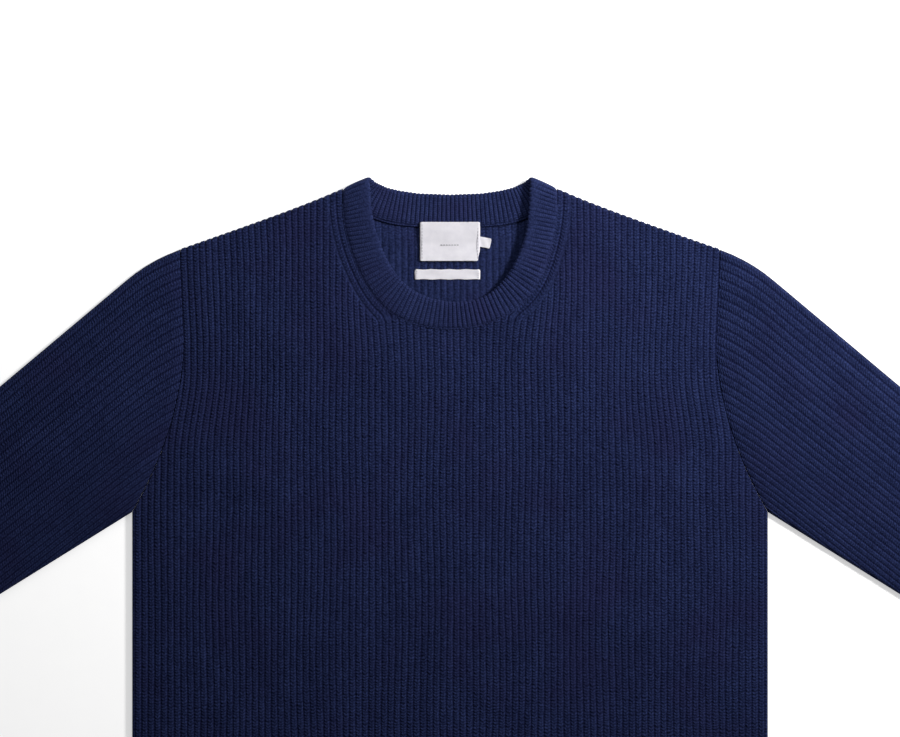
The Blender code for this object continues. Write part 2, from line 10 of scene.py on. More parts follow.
import bpy
import numpy as np
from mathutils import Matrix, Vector


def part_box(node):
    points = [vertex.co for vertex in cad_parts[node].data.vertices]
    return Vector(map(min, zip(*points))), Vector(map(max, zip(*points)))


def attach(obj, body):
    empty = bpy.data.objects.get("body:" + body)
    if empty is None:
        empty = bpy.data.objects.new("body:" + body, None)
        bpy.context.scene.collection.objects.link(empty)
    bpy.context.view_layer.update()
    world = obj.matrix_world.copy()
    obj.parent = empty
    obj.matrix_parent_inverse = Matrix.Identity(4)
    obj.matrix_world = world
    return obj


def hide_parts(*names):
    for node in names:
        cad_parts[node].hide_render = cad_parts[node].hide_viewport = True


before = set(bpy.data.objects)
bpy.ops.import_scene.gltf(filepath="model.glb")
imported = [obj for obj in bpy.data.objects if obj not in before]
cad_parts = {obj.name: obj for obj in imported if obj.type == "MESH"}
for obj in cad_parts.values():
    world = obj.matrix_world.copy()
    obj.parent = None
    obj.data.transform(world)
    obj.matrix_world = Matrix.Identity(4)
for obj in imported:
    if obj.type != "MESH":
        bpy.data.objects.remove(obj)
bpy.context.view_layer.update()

# Sizes of the garment, measured flat
BODY_LENGTH = 0.690
WELT = 0.065
TAPER = 0.085
BODY_RIBS = 98
FINE_PITCH = 0.0038  # rib spacing of the collar, hem and cuffs
PANEL_LOW, PANEL_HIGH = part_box("front_panel")
HEM_LOW, HEM_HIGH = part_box("front_hem")
CHEST = PANEL_HIGH.x - PANEL_LOW.x
HEM_WIDTH = HEM_HIGH.x - HEM_LOW.x
NECK_Y = HEM_LOW.y + BODY_LENGTH  # the high shoulder points; plan heights are counted from here
RIB = CHEST / BODY_RIBS
SEAM_Y = WELT - BODY_LENGTH  # where the body meets the hem

# Shoulders and armholes
SHOULDER_SLOPE, SHOULDER_HOLLOW, HOLLOW_REACH = 0.35, 0.0035, 0.030
TIP_X = 0.2376
UNDERARM_Y, INNERMOST_Y = -0.285, -0.1333
ARMHOLE_POWER = 1.9
ARMHOLE_START = 42.5 * RIB  # the rib groove that runs up the armhole's edge
DRAW_IN, LEAN_START = 0.009, 0.115
LEAN_HEAD, LEAN_FOOT = -0.160, -0.235
SHARED_TOP = -0.165  # up to this height all columns of the body have their points level
SHARED_ROWS, OWN_ROWS = 50, 11  # rows of the front below that height and above it

# Neck: half ellipses for the collar's seam and its free edge
SEAM_HALF, SEAM_TOP, SEAM_DROP = 0.0942, -0.0101, 0.1127
EDGE_HALF, EDGE_TOP, EDGE_DROP = 0.0704, -0.0013, 0.0972
BACK_SEAM_Y, BACK_SEAM_RISE, BACK_SEAM_POWER = -0.0330, 0.0275, 3.8
NECK_RIBS = 2  # ribs that follow the neck seam
TURN_X = 8.5 * RIB  # where they turn upright
TURN_SOFTNESS = 0.9  # in ribs
# The neck isn't laid quite evenly: where the front is pushed away from its middle
NECK_MIDDLE_Y = -0.045
NECK_PUSHES = (
    # x, y, reach, push
    (0.0600, -0.0890, 0.038, 0.0058),
    (0.0640, -0.0420, 0.016, 0.0011),
    (-0.0580, -0.1060, 0.036, 0.0045),
    (0.0230, -0.0900, 0.022, 0.0026),
)

# Levels and thicknesses
FRONT_LEVEL = PANEL_LOW.z
BACK_LEVEL = 0.0021
FOLD_LEVEL = 0.0022  # height of the folded edges, where front and back meet
CLOTH = 0.0016
RIB_RISE, BACK_RISE, FINE_RISE = 0.00085, 0.0011, 0.0011
NECK_LIFT, CENTRE_LIFT, LIFT_FADE = 0.0028, 0.0010, 0.080
FOLD_RADIUS = 0.0034
SEAM_RADIUS = 0.0011

COLLAR_HALF = 0.0022
COLLAR_RISE = 0.0006
COLLAR_LEAN = 0.11  # how far the collar's ribs turn towards level beside the shoulders
RIM_RELIEF = 0.10  # what is left of a rib's depth on the collar's rounded free edge
# How far the ribs bulge at the free edge, and how deep the grooves are, the back's too
RIM_BULGE, GROOVE_SINK, BACK_SINK = 0.0007, 0.0003, 0.0007
SEAM_HEIGHTS = (0.0056, 0.0074)
EDGE_HEIGHTS = (0.0062, 0.0110)
# Sections of the collar where it folds over the high shoulder point: where its seam and free
# edge lie, and the turn of its outer face in degrees, from up (0) to down (180)
COLLAR_FOLD = (
    # seam_x, seam_y, seam_z, edge_x, edge_y, edge_z, turn
    (0.0942, -0.0051, 0.0074, 0.0711, 0.0035, 0.0110, 0),
    (0.0937, -0.0029, 0.0066, 0.0710, 0.0072, 0.0097, 45),
    (0.0932, -0.0019, 0.0048, 0.0706, 0.0088, 0.0066, 90),
    (0.0930, -0.0033, 0.0029, 0.0690, 0.0080, 0.0035, 135),
)
COLLAR_BACK = (
    # seam_x, edge_x, edge_y
    (0.0922, 0.0665, 0.0058),
    (0.0840, 0.0636, 0.0042),
    (0.0760, 0.0606, 0.0028),
    (0.0660, 0.0560, 0.0006),
    (0.0500, 0.0450, -0.0021),
    (0.0300, 0.0280, -0.0046),
    (0.0000, 0.0000, -0.0057),
)

# Sleeves and cuffs
SLEEVE_LENGTH = 0.600
SLEEVE_RIBS = 28
CUFF_SEAM_WIDTH = 0.100
SLEEVE_ANGLE = math.radians(40)
CAP_RADIUS = 0.150
CUFF_LENGTH, CUFF_WIDTH, CUFF_RIBS = 0.065, 0.092, 24

# Labels, from the middle of the neck
LABEL_SIZE = (0.0528, 0.0343)
LABEL_TOP_Y = -0.0295
TAB_SIZE, TAB_PLACE, TAB_TURN = (0.0112, 0.0089), (0.0302, -0.0474), math.radians(-11)
STRIP_SIZE, STRIP_PLACE = (0.0572, 0.0088), (-0.0022, -0.0755)
LABEL_CORNER, CUT_CORNER, FRAY = 0.0011, 0.0019, 0.0006
LABEL_LIFT, SEWN_LIFT = 0.0013, 0.00035  # over the back's cloth, and the stitches over a label

# Stitches, and how the wool is shaded by them
STITCH = 0.0026  # height of one knitted stitch of the body
FINE_STITCH = STITCH * FINE_PITCH / RIB
LINK_STITCH, FRONT_LINK, BACK_LINK = 0.0024, 0.00062, 0.00066  # length, and the chains' radii
STITCH_MEAN = 0.45  # mean of the stitches' painted highlight and bump, which is left where a rib fades
GROOVE_SHARE = 0.46  # share of a rib's half width that painted shade darkens towards the groove
WOOL_FIELDS = (
    # what varies, scale, detail, roughness; one swing is about 1000 / scale millimetres long
    ("stray", 110.0, 1.5, 0.6),
    ("jostle", 480.0, 3.0, 0.6),
    ("fibre", 560.0, 3.0, 0.65),
    ("cloud", 30.0, 3.0, 0.6),
    ("dye", 12.0, 2.0, 0.6),
)

# Soft creases of the laid cloth: where each begins and ends, its half width and its rise
FRONT_CREASES = (
    # from_x, from_y, to_x, to_y, width, rise
    (-0.215, -0.070, -0.120, -0.190, 0.016, 0.0018),
    (-0.245, -0.240, -0.130, -0.285, 0.013, 0.0015),
    (0.225, -0.060, 0.150, -0.215, 0.018, 0.0014),
    (0.240, -0.262, 0.135, -0.240, 0.012, 0.0017),
    (-0.060, -0.205, 0.045, -0.255, 0.022, 0.0010),
    (-0.175, -0.395, -0.020, -0.430, 0.020, 0.0014),
    (0.060, -0.365, 0.215, -0.410, 0.017, 0.0016),
    (-0.225, -0.560, -0.130, -0.505, 0.014, 0.0018),
    (0.095, -0.590, 0.190, -0.520, 0.015, 0.0016),
)
SLEEVE_CREASES = (
    # run, share, angle, half length, width, rise; run and share in shares of the sleeve
    (0.10, 0.62, -0.5, 0.16, 0.07, 0.0020),
    (0.22, 0.40, 0.4, 0.18, 0.06, 0.0016),
    (0.47, 0.60, -0.35, 0.15, 0.08, 0.0019),
    (0.63, 0.35, 0.5, 0.14, 0.07, 0.0015),
    (0.84, 0.55, -0.6, 0.11, 0.06, 0.0017),
)
# How far from its edges the cloth lies calm
CALM_NECK, CALM_EDGE, CALM_ARMHOLE = 0.045, 0.03, 0.02


def smooth(t):
    """Eases from 0 to 1 as t does."""
    t = np.clip(t, 0.0, 1.0)
    return t * t * (3 - 2 * t)


def mix(a, b, t):
    """The value t of the way from a to b."""
    return a + (b - a) * t


def lobe(phase, width=0.93):
    """Height of a knitted rib: 0 in the groove at each whole number, near 1 on both legs of its
    stitches, and a little lower between them. width is the share of the spacing it takes."""
    t = np.abs(2 * (phase - np.floor(phase)) - 1) / width
    dome = np.clip(1 - t**3.6, 0.0, 1.0) ** 0.85
    return dome - 0.10 * np.clip(1 - t / 0.25, 0.0, 1.0)


def laid(points):
    """Points of the front, pushed aside where the neck isn't laid evenly."""
    out = points[..., 0:2] - np.array((0.0, NECK_MIDDLE_Y))
    out /= np.maximum(np.linalg.norm(out, axis=-1, keepdims=True), 0.001)
    moved = points.copy()
    for x, y, reach, push in NECK_PUSHES:
        off = np.linalg.norm(points[..., 0:2] - np.array((x, y)), axis=-1, keepdims=True)
        moved[..., 0:2] += out * push * np.exp(-((off / reach) ** 2))
    return moved


def down_rows(values, rows):
    """One value for each column, repeated down its rows."""
    return np.repeat(values[:, None], rows, axis=1)


def quarter(t):
    """A quarter circle's rise from 0 to 1."""
    return np.sqrt(np.clip(1 - (1 - np.clip(t, 0.0, 1.0)) ** 2, 0.0, 1.0))


def run_along(path):
    """Length from the path's first point to each of its points."""
    steps = np.linalg.norm(np.diff(path, axis=0), axis=1)
    return np.concatenate([[0], np.cumsum(steps)])


def creases(x, y, table):
    """Height of the soft creases at each place."""
    height = np.zeros_like(x)
    for from_x, from_y, to_x, to_y, width, rise in table:
        along = np.array((to_x - from_x, to_y - from_y))
        length = np.linalg.norm(along)
        along /= length
        run = (x - from_x) * along[0] + (y - from_y) * along[1]
        off = (y - from_y) * along[0] - (x - from_x) * along[1]
        bow = 0.06 * length * np.sin(math.pi * run / length)
        ends = smooth(run / (0.35 * length)) * smooth((length - run) / (0.35 * length))
        height += rise * ends * np.exp(-(((off - bow) / width) ** 2))
    return height


def swell(x, y):
    """Slow rise and fall of cloth that isn't pressed."""
    slow = np.sin(17 * x + 11 * y + 0.7) * np.sin(9 * x - 21 * y + 2.1)
    quick = np.sin(43 * x - 18 * y + 1.3) * np.sin(27 * y + 15 * x)
    return 0.0006 * (1 + slow) + 0.0003 * (1 + quick)


def wander(x, y):
    """How far the ribs stray sideways."""
    slow = 0.0005 * np.sin(21 * x + 29 * y + 0.4) + 0.0004 * np.sin(52 * x - 37 * y + 1.9)
    return slow + 0.00024 * np.sin(151 * y + 760 * x) + 0.00016 * np.sin(330 * y - 1900 * x)


# Forms of the cut pieces


def shoulder_y(x):
    """Height of the shoulder edge in plan."""
    out = np.abs(x) - SEAM_HALF
    return -SHOULDER_SLOPE * out - SHOULDER_HOLLOW * (1 - np.exp(-out / HOLLOW_REACH))


TIP_Y = float(shoulder_y(TIP_X))
ARMHOLE_X = ARMHOLE_START - DRAW_IN


def rib_x(start, y):
    """Where the rib that has the place start across the chest runs at the height y."""
    out = np.abs(start)
    near = smooth((out - LEAN_START) / (ARMHOLE_START - LEAN_START))
    drawn = DRAW_IN * smooth((y - LEAN_FOOT) / (LEAN_HEAD - LEAN_FOOT))
    spread = (TIP_X - ARMHOLE_X) * np.maximum(0.0, (y - INNERMOST_Y) / (TIP_Y - INNERMOST_Y))
    taper = smooth((y + BODY_LENGTH - WELT) / TAPER)
    width = mix(HEM_WIDTH / CHEST, 1.0, taper)
    return np.sign(start) * (out - near * (drawn - spread)) * width


def armhole_x(y):
    """The armhole's edge: straight from the shoulder tip, then curving out to the underarm."""
    upper = mix(ARMHOLE_X, TIP_X, (y - INNERMOST_Y) / (TIP_Y - INNERMOST_Y))
    share = np.clip((INNERMOST_Y - y) / (INNERMOST_Y - UNDERARM_Y), 0.0, 1.0)
    lower = ARMHOLE_X + (CHEST / 2 - ARMHOLE_X) * share**ARMHOLE_POWER
    return np.where(y >= INNERMOST_Y, upper, lower)


def armhole_y(start):
    """Where the ribs from these places end on the lower armhole, found by halving."""
    low = np.full_like(start, UNDERARM_Y)
    high = np.full_like(start, INNERMOST_Y)
    for _ in range(40):
        middle = (low + high) / 2
        past = np.abs(rib_x(start, middle)) > armhole_x(middle)
        low, high = np.where(past, low, middle), np.where(past, middle, high)
    return (low + high) / 2


def neck_curve_y(x, outward):
    """Height of the front neck seam at x, or of the curve that far outward from it."""
    half, drop = SEAM_HALF + outward, SEAM_DROP + outward
    inside = 1 - (x / half) ** 2
    return np.where(inside > 0, SEAM_TOP - drop * np.sqrt(np.maximum(inside, 0.0)), np.nan)


def back_neck_y(x):
    """Height of the back neck seam at x."""
    share = np.minimum(np.abs(x) / SEAM_HALF, 1.0)
    return BACK_SEAM_Y + BACK_SEAM_RISE * share**BACK_SEAM_POWER


def seam_distance(x, y):
    """How far each point of the front lies outward from the neck seam."""
    low, high = np.zeros_like(x), np.full_like(x, 0.7)
    for _ in range(34):
        middle = (low + high) / 2
        reach = (x / (SEAM_HALF + middle)) ** 2 + ((SEAM_TOP - y) / (SEAM_DROP + middle)) ** 2
        low, high = np.where(reach > 1, middle, low), np.where(reach > 1, high, middle)
    return np.where(y > SEAM_TOP, np.abs(x) - SEAM_HALF, (low + high) / 2)


def shoulder_top(start):
    """Where the ribs from these places meet the shoulder edge."""
    top = shoulder_y(start)
    for _ in range(8):
        top = shoulder_y(rib_x(start, top))
    return top


# Making shells


def only(piece):
    """Selects one piece and makes it active."""
    bpy.ops.object.select_all(action="DESELECT")
    piece.select_set(True)
    bpy.context.view_layer.objects.active = piece


def knit_shell(name, points, knit, relief=None, merge=0.00002):
    """A closed shell from a grid. points holds a place for each column and row, and knit its
    count of ribs across and of stitches along, which go to the UV map of the same name. relief
    says how strongly the ribs' stitches and their painted groove shade are drawn at each, and
    goes to the attribute rib_depth."""
    columns, rows = points.shape[:2]
    bpy.ops.object.select_all(action="DESELECT")
    bpy.ops.mesh.primitive_grid_add(x_subdivisions=columns - 1, y_subdivisions=rows - 1, size=2)
    piece = bpy.context.object
    piece.name = name
    mesh = piece.data
    mesh.name = name
    place = np.empty(len(mesh.vertices) * 3)
    mesh.vertices.foreach_get("co", place)
    place = place.reshape(-1, 3)
    column = np.rint((place[:, 0] + 1) / 2 * (columns - 1)).astype(int)
    row = np.rint((place[:, 1] + 1) / 2 * (rows - 1)).astype(int)
    moved = points[column, row] + np.array((0.0, NECK_Y, 0.0))
    mesh.vertices.foreach_set("co", moved.ravel())
    corner = np.empty(len(mesh.loops), dtype=int)
    mesh.loops.foreach_get("vertex_index", corner)
    layer = mesh.uv_layers.active
    layer.name = "knit"
    layer.uv.foreach_set("vector", knit[column, row][corner].astype(np.float32).ravel())
    depth = mesh.attributes.new("rib_depth", "FLOAT", "POINT")
    drawn = np.ones(points.shape[:2]) if relief is None else relief
    depth.data.foreach_set("value", drawn[column, row].astype(np.float32))
    only(piece)
    bpy.ops.object.mode_set(mode="EDIT")
    bpy.ops.mesh.select_all(action="SELECT")
    bpy.ops.mesh.remove_doubles(threshold=merge)
    bpy.ops.mesh.dissolve_degenerate(threshold=merge / 2)
    bpy.ops.mesh.select_all(action="SELECT")
    bpy.ops.mesh.fill_holes(sides=0)
    bpy.ops.mesh.select_all(action="SELECT")
    bpy.ops.mesh.normals_make_consistent(inside=False)
    bpy.ops.object.mode_set(mode="OBJECT")
    bpy.ops.object.shade_smooth()
    return piece


def dress(piece, node, material):
    """Sets a piece in its CAD node's place, with its finish."""
    piece.data.materials.clear()
    piece.data.materials.append(material)
    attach(piece, "root")
    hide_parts(node)


# The body


def neck_ribs(start, x, y):
    """Rib count at each place of the front, with its whole numbers in the grooves, and how
    far the ribs there follow the neck seam. Two ribs run along the seam from each shoulder and
    turn upright; the upright ones outside them end at the second."""
    away = seam_distance(x, y) / RIB
    upright = (np.abs(start) - TURN_X) / RIB
    blend = np.clip(0.5 + (upright - away) / (2 * TURN_SOFTNESS), 0.0, 1.0)
    turned = mix(upright, away, blend) - TURN_SOFTNESS * blend * (1 - blend)
    inner = turned < NECK_RIBS
    return np.where(inner, turned, upright), np.where(inner, blend, 0.0), away, inner


def front_heights(start):
    """Rows of the front for one column, from the hem up: even ones, then close ones where the
    neck ribs lie, to the neck seam or the shoulder. A column that ends at the armhole has the
    rows above its end closed up there."""
    x = abs(start)
    shared = np.linspace(SEAM_Y, SHARED_TOP, SHARED_ROWS)
    levels = np.arange(NECK_RIBS * 8 + 4, -1, -1) * RIB / 8
    if x > ARMHOLE_START + 1e-6:
        top = float(armhole_y(np.array([start]))[0])
        return np.minimum(np.array([*shared, *np.full(OWN_ROWS + len(levels), top)]), top)
    met = [y for y in neck_curve_y(x, levels) if not math.isnan(y)]
    if x >= SEAM_HALF:
        top = float(shoulder_top(start))
        if not met:
            met = [top - 2 * NECK_RIBS * RIB]
        missing = len(levels) - len(met)
        met += [mix(met[-1], top, (n + 1) / missing) for n in range(missing)]
    own = np.linspace(SHARED_TOP, met[0], OWN_ROWS + 2)[1:-1]
    return np.array([*shared, *own, *met])


def rolled(heights, radius_low, radius_high, steps):
    """Adds rows at both ends of a column that follow a quarter circle. Gives the rows and the
    share of the full height at each."""
    low, high = heights[0], heights[-1]
    turn = np.sin(np.linspace(0, math.pi / 2, steps + 1)[:-1])
    foot = low + radius_low * (1 - np.sqrt(1 - turn**2))
    head = high - radius_high * (1 - np.sqrt(1 - turn[::-1] ** 2))
    middle = np.clip(heights, low + radius_low, high - radius_high)
    rows = np.concatenate([foot, middle, head])
    share = np.concatenate([turn, np.ones(len(heights)), turn[::-1]])
    return rows, share


def plain_rows(top, close):
    """Rows of a column's plain side, from its top down to the hem."""
    upper = mix(top, max(SHARED_TOP, top - 0.132), np.linspace(0, 1, close + 1)[1:])
    taper = SEAM_Y + TAPER * np.linspace(1, 0, 7)
    return np.minimum([*upper, SHARED_TOP, LEAN_FOOT, -0.33, -0.43, *taper], top)


def column_places(samples):
    """Places across the chest with that many columns to a rib."""
    return np.linspace(-CHEST / 2, CHEST / 2, BODY_RIBS * samples + 1)


def front_knit(material):
    """The front: ribbed above, plain and flat beneath."""
    starts = column_places(8)
    all_rows, all_shares = [], []
    for start in starts:
        heights = front_heights(start)
        at_shoulder = SEAM_HALF <= abs(start) <= ARMHOLE_START + 1e-6
        radius = FOLD_RADIUS if at_shoulder else SEAM_RADIUS
        rows, share = rolled(heights, SEAM_RADIUS, radius, 5)
        all_rows.append(rows)
        all_shares.append(share)
    y = np.array(all_rows)
    share = np.array(all_shares)
    start = down_rows(starts, y.shape[1])
    x = rib_x(start, y)
    count, follow, away, inner = neck_ribs(start, x, y)
    top = y[:, -1:]
    at_shoulder = (np.abs(start) >= SEAM_HALF) & (np.abs(start) <= ARMHOLE_START + 1e-6)
    # upright ribs sink into the groove beside the neck ribs
    sunk = np.where(inner | (away > 4), 1.0, smooth((away - NECK_RIBS) / 0.45))
    sunk = np.where(np.abs(start) < TURN_X, 1.0, sunk)
    rise = RIB_RISE * lobe(count) * np.maximum(sunk, 0.0)
    # free is 0 at the edges, where the cloth lies calm, and 1 further in
    near_neck = smooth(away * RIB / CALM_NECK)
    near_side = smooth((CHEST / 2 - np.abs(start)) / CALM_EDGE)
    near_hem = smooth((y - SEAM_Y) / CALM_EDGE)
    near_shoulder = np.where(at_shoulder, smooth((top - y) / CALM_EDGE), 1.0)
    at_armhole = smooth(np.abs(armhole_x(y) - np.abs(x)) / CALM_ARMHOLE)
    free = near_neck * near_side * near_hem * near_shoulder
    free = free * np.where(y > UNDERARM_Y, at_armhole, 1.0)
    lifted = (swell(x, y) + creases(x, y, FRONT_CREASES)) * free
    out = np.abs(start)
    at_neck = mix(CENTRE_LIFT, NECK_LIFT, smooth(out / SEAM_HALF))
    near_top = smooth((y - (SEAM_TOP - SEAM_DROP - 0.07)) / 0.09)
    lift = at_neck * (1 - smooth((out - SEAM_HALF) / LIFT_FADE)) * near_top
    level = FRONT_LEVEL + CLOTH + lift + lifted
    side = quarter((CHEST / 2 - out) / FOLD_RADIUS)
    foot = np.where(at_shoulder & (y > -0.2), FOLD_LEVEL, FRONT_LEVEL)
    z = foot + (level + rise - foot) * share
    z = FOLD_LEVEL + (z - FOLD_LEVEL) * side
    at_fold = np.where(at_shoulder, smooth(1 - (top - y) / 0.008), 0.0)
    scallop = 0.0020 * (lobe(count) - 0.6) * at_fold * smooth(away)
    upper = np.stack([x + wander(x, y) * free, y + scallop, z], axis=-1)

    # the plain side, from the top row back to the hem
    y_under = np.array([plain_rows(high, 4) for high in top[:, 0]])
    start_under = down_rows(starts, y_under.shape[1])
    x_under = rib_x(start_under, y_under)
    beneath = FRONT_LEVEL + lift[:, -1:] * smooth(1 - (top - y_under) / 0.09) * 0.8
    z_under = FOLD_LEVEL + (beneath - FOLD_LEVEL) * side[:, :1]
    under = np.stack([x_under, y_under, z_under], axis=-1)
    under[:, -1] = upper[:, 0]
    points = laid(np.concatenate([upper, under], axis=1))

    along = mix(y, seam_run(x, y), follow) / STITCH
    count_under = down_rows(starts / RIB + 0.5, y_under.shape[1])
    knit_upper = np.stack([count, along], axis=-1)
    knit_under = np.stack([count_under, y_under / STITCH], axis=-1)
    knit = np.concatenate([knit_upper, knit_under], axis=1)
    plain = np.full(y_under.shape, 0.5)
    piece = knit_shell("front_knit", points, knit, np.concatenate([sunk, plain], axis=1))
    dress(piece, "front_panel", material)
    panel_area(neck_curve_y)


def seam_run(x, y):
    """Length along the neck seam, counted so that it grows upwards."""
    angles = np.linspace(0, math.pi / 2, 200)
    run = run_along(np.stack([SEAM_HALF * np.cos(angles), SEAM_DROP * np.sin(angles)], axis=-1))
    angle = np.arctan2(np.maximum(SEAM_TOP - y, 0.0) / SEAM_DROP, np.abs(x) / SEAM_HALF)
    return SEAM_TOP - np.interp(angle, angles, run) + np.maximum(y - SEAM_TOP, 0.0)


def panel_area(neck_line):
    """Flat area of a body panel with this neck."""
    x = np.linspace(0, CHEST / 2, 1200)
    in_neck = x < SEAM_HALF
    with np.errstate(invalid="ignore"):
        neck = neck_line(x, 0.0) if neck_line is neck_curve_y else neck_line(x)
    past = x > ARMHOLE_START
    top = np.where(in_neck, neck, np.where(past, armhole_y(x), shoulder_top(x)))
    top = np.where(np.isnan(top), 0.0, top)
    return float(2 * np.mean(top - SEAM_Y) * CHEST / 2) * 0.985


def back_knit(material):
    """The back: ribbed beneath, where it rests on its crests, and inside the neck."""
    starts = column_places(6)
    past = np.abs(starts) > ARMHOLE_START + 1e-6
    in_neck = np.abs(starts) < SEAM_HALF
    top = np.where(in_neck, back_neck_y(starts), shoulder_top(starts))
    top = np.where(past, armhole_y(starts), top)
    side = quarter((CHEST / 2 - np.abs(starts)) / FOLD_RADIUS)
    shared = np.linspace(SEAM_Y, SHARED_TOP, 36)
    beneath_rows, beneath_shares = [], []
    for high, neck in zip(top, in_neck):
        upper = mix(SHARED_TOP, max(high, SHARED_TOP), np.linspace(0, 1, 13)[1:])
        heights = np.minimum([*shared, *upper], high)
        rows, share = rolled(heights, SEAM_RADIUS, SEAM_RADIUS if neck else FOLD_RADIUS, 5)
        beneath_rows.append(rows)
        beneath_shares.append(share)
    y = np.array(beneath_rows)
    share = np.array(beneath_shares)
    start = down_rows(starts, y.shape[1])
    x = rib_x(start, y)
    level = BACK_RISE * (1 - lobe(start / RIB + 0.5))
    z = mix(BACK_LEVEL, level, share * side[:, None])
    beneath = np.stack([x, y, z], axis=-1)
    # the inner side, from the top row back to the hem, with close rows inside the neck
    y_in = np.array([plain_rows(high, 10) for high in top])
    start_in = down_rows(starts, y_in.shape[1])
    x_in = rib_x(start_in, y_in)
    seen = smooth((SEAM_HALF - np.abs(start_in)) / 0.006) * (y_in > SHARED_TOP + 1e-6)
    dip = smooth((top[:, None] - y_in) / 0.0012)
    z_in = BACK_LEVEL - 0.0002 + BACK_RISE * lobe(start_in / RIB + 0.5) * seen * dip
    z_in = mix(BACK_LEVEL, z_in, side[:, None])
    inside = np.stack([x_in, y_in, z_in], axis=-1)
    inside[:, -1] = beneath[:, 0]
    points = np.concatenate([beneath, inside], axis=1)
    count = down_rows(starts / RIB + 0.5, points.shape[1])
    knit = np.stack([count, points[:, :, 1] / STITCH], axis=-1)
    # the inner side shows the stitches and the painted groove shade only faintly
    soft_side = np.full(inside.shape[:2], 0.35)
    relief = np.concatenate([np.ones(beneath.shape[:2]), soft_side], axis=1)
    piece = knit_shell("back_knit", points, knit, relief)
    dress(piece, "back_panel", material)
    panel_area(back_neck_y)


def hem_knit(name, node, front, material):
    """One half of the hem: fine ribs on the side that shows."""
    count = round(HEM_WIDTH / FINE_PITCH)
    across = np.linspace(0, count, count * 6 + 1)
    x = (across / count - 0.5) * HEM_WIDTH
    low, high = -BODY_LENGTH, SEAM_Y - 0.0003
    rows, share = rolled(np.linspace(low, high, 14), 0.0014, SEAM_RADIUS, 4)
    x2 = down_rows(x, len(rows))
    y2 = np.repeat(rows[None, :], len(x), axis=0)
    side = quarter((HEM_WIDTH / 2 - np.abs(x2)) / 0.0022)
    ribs = lobe(down_rows(across, len(rows)))
    inner = FRONT_LEVEL if front else BACK_LEVEL
    if front:
        outer = FRONT_LEVEL + CLOTH + FINE_RISE * ribs + 0.5 * swell(x2, y2)
    else:
        outer = 0.0009 * (1 - ribs)
    z = mix(inner, outer, share)
    z = mix(FOLD_LEVEL, z, side)
    shown = np.stack([x2, y2, z], axis=-1)
    y_in = np.repeat(np.linspace(high, low, 4)[None, 1:], len(x), axis=0)
    x_in = down_rows(x, 3)
    z_in = mix(FOLD_LEVEL, inner, side[:, :3])
    hidden = np.stack([x_in, y_in, z_in], axis=-1)
    hidden[:, -1] = shown[:, 0]
    points = np.concatenate([shown, hidden], axis=1)
    counts = down_rows(across, points.shape[1])
    knit = np.stack([counts, points[:, :, 1] / FINE_STITCH], axis=-1)
    piece = knit_shell(name, points, knit)
    dress(piece, node, material)


# Sleeves and cuffs


def armhole_line(share):
    """The sleeve's edge along the armhole, from the shoulder tip (0) to the underarm (1)."""
    y = mix(TIP_Y, UNDERARM_Y, share)
    return np.stack([armhole_x(y) + 0.0002, y], axis=-1)


def overarm(length):
    """The sleeve's upper edge, length away from the shoulder tip."""
    start = math.atan(SHOULDER_SLOPE)
    bend = CAP_RADIUS * (SLEEVE_ANGLE - start)
    angle = start + np.minimum(length, bend) / CAP_RADIUS
    origin = armhole_line(np.array(0.0))
    x = origin[0] + CAP_RADIUS * (np.sin(angle) - math.sin(start))
    y = origin[1] - CAP_RADIUS * (math.cos(start) - np.cos(angle))
    rest = np.maximum(0.0, length - bend)
    x = x + rest * math.cos(SLEEVE_ANGLE)
    y = y - rest * math.sin(SLEEVE_ANGLE)
    return np.stack([x, y], axis=-1)


def sleeve_place(run, share):
    """Places on the sleeve's plan, run along it and share across it from the upper edge."""
    run, share = np.broadcast_arrays(run, share)
    tip, under = armhole_line(np.array(0.0)), armhole_line(np.array(1.0))
    end = overarm(np.array(SLEEVE_LENGTH))
    down = np.array((-math.sin(SLEEVE_ANGLE), -math.cos(SLEEVE_ANGLE)))
    cuff = end + CUFF_SEAM_WIDTH * down
    r, s = run[..., None], share[..., None]
    along = (1 - r) * armhole_line(share) + r * mix(end, cuff, s)
    beside = (1 - s) * overarm(run * SLEEVE_LENGTH) + s * mix(under, cuff, r)
    corners = mix(mix(tip, end, r), mix(under, cuff, r), s)
    return along + beside - corners


def cuff_place(run, share):
    """Places on the cuff's plan."""
    run, share = np.broadcast_arrays(run, share)
    end = overarm(np.array(SLEEVE_LENGTH))
    along = np.array((math.cos(SLEEVE_ANGLE), -math.sin(SLEEVE_ANGLE)))
    down = np.array((-math.sin(SLEEVE_ANGLE), -math.cos(SLEEVE_ANGLE)))
    margin = (CUFF_SEAM_WIDTH - CUFF_WIDTH) / 2
    far = 0.0001 + run * CUFF_LENGTH
    return end + far[..., None] * along + (margin + share * CUFF_WIDTH)[..., None] * down


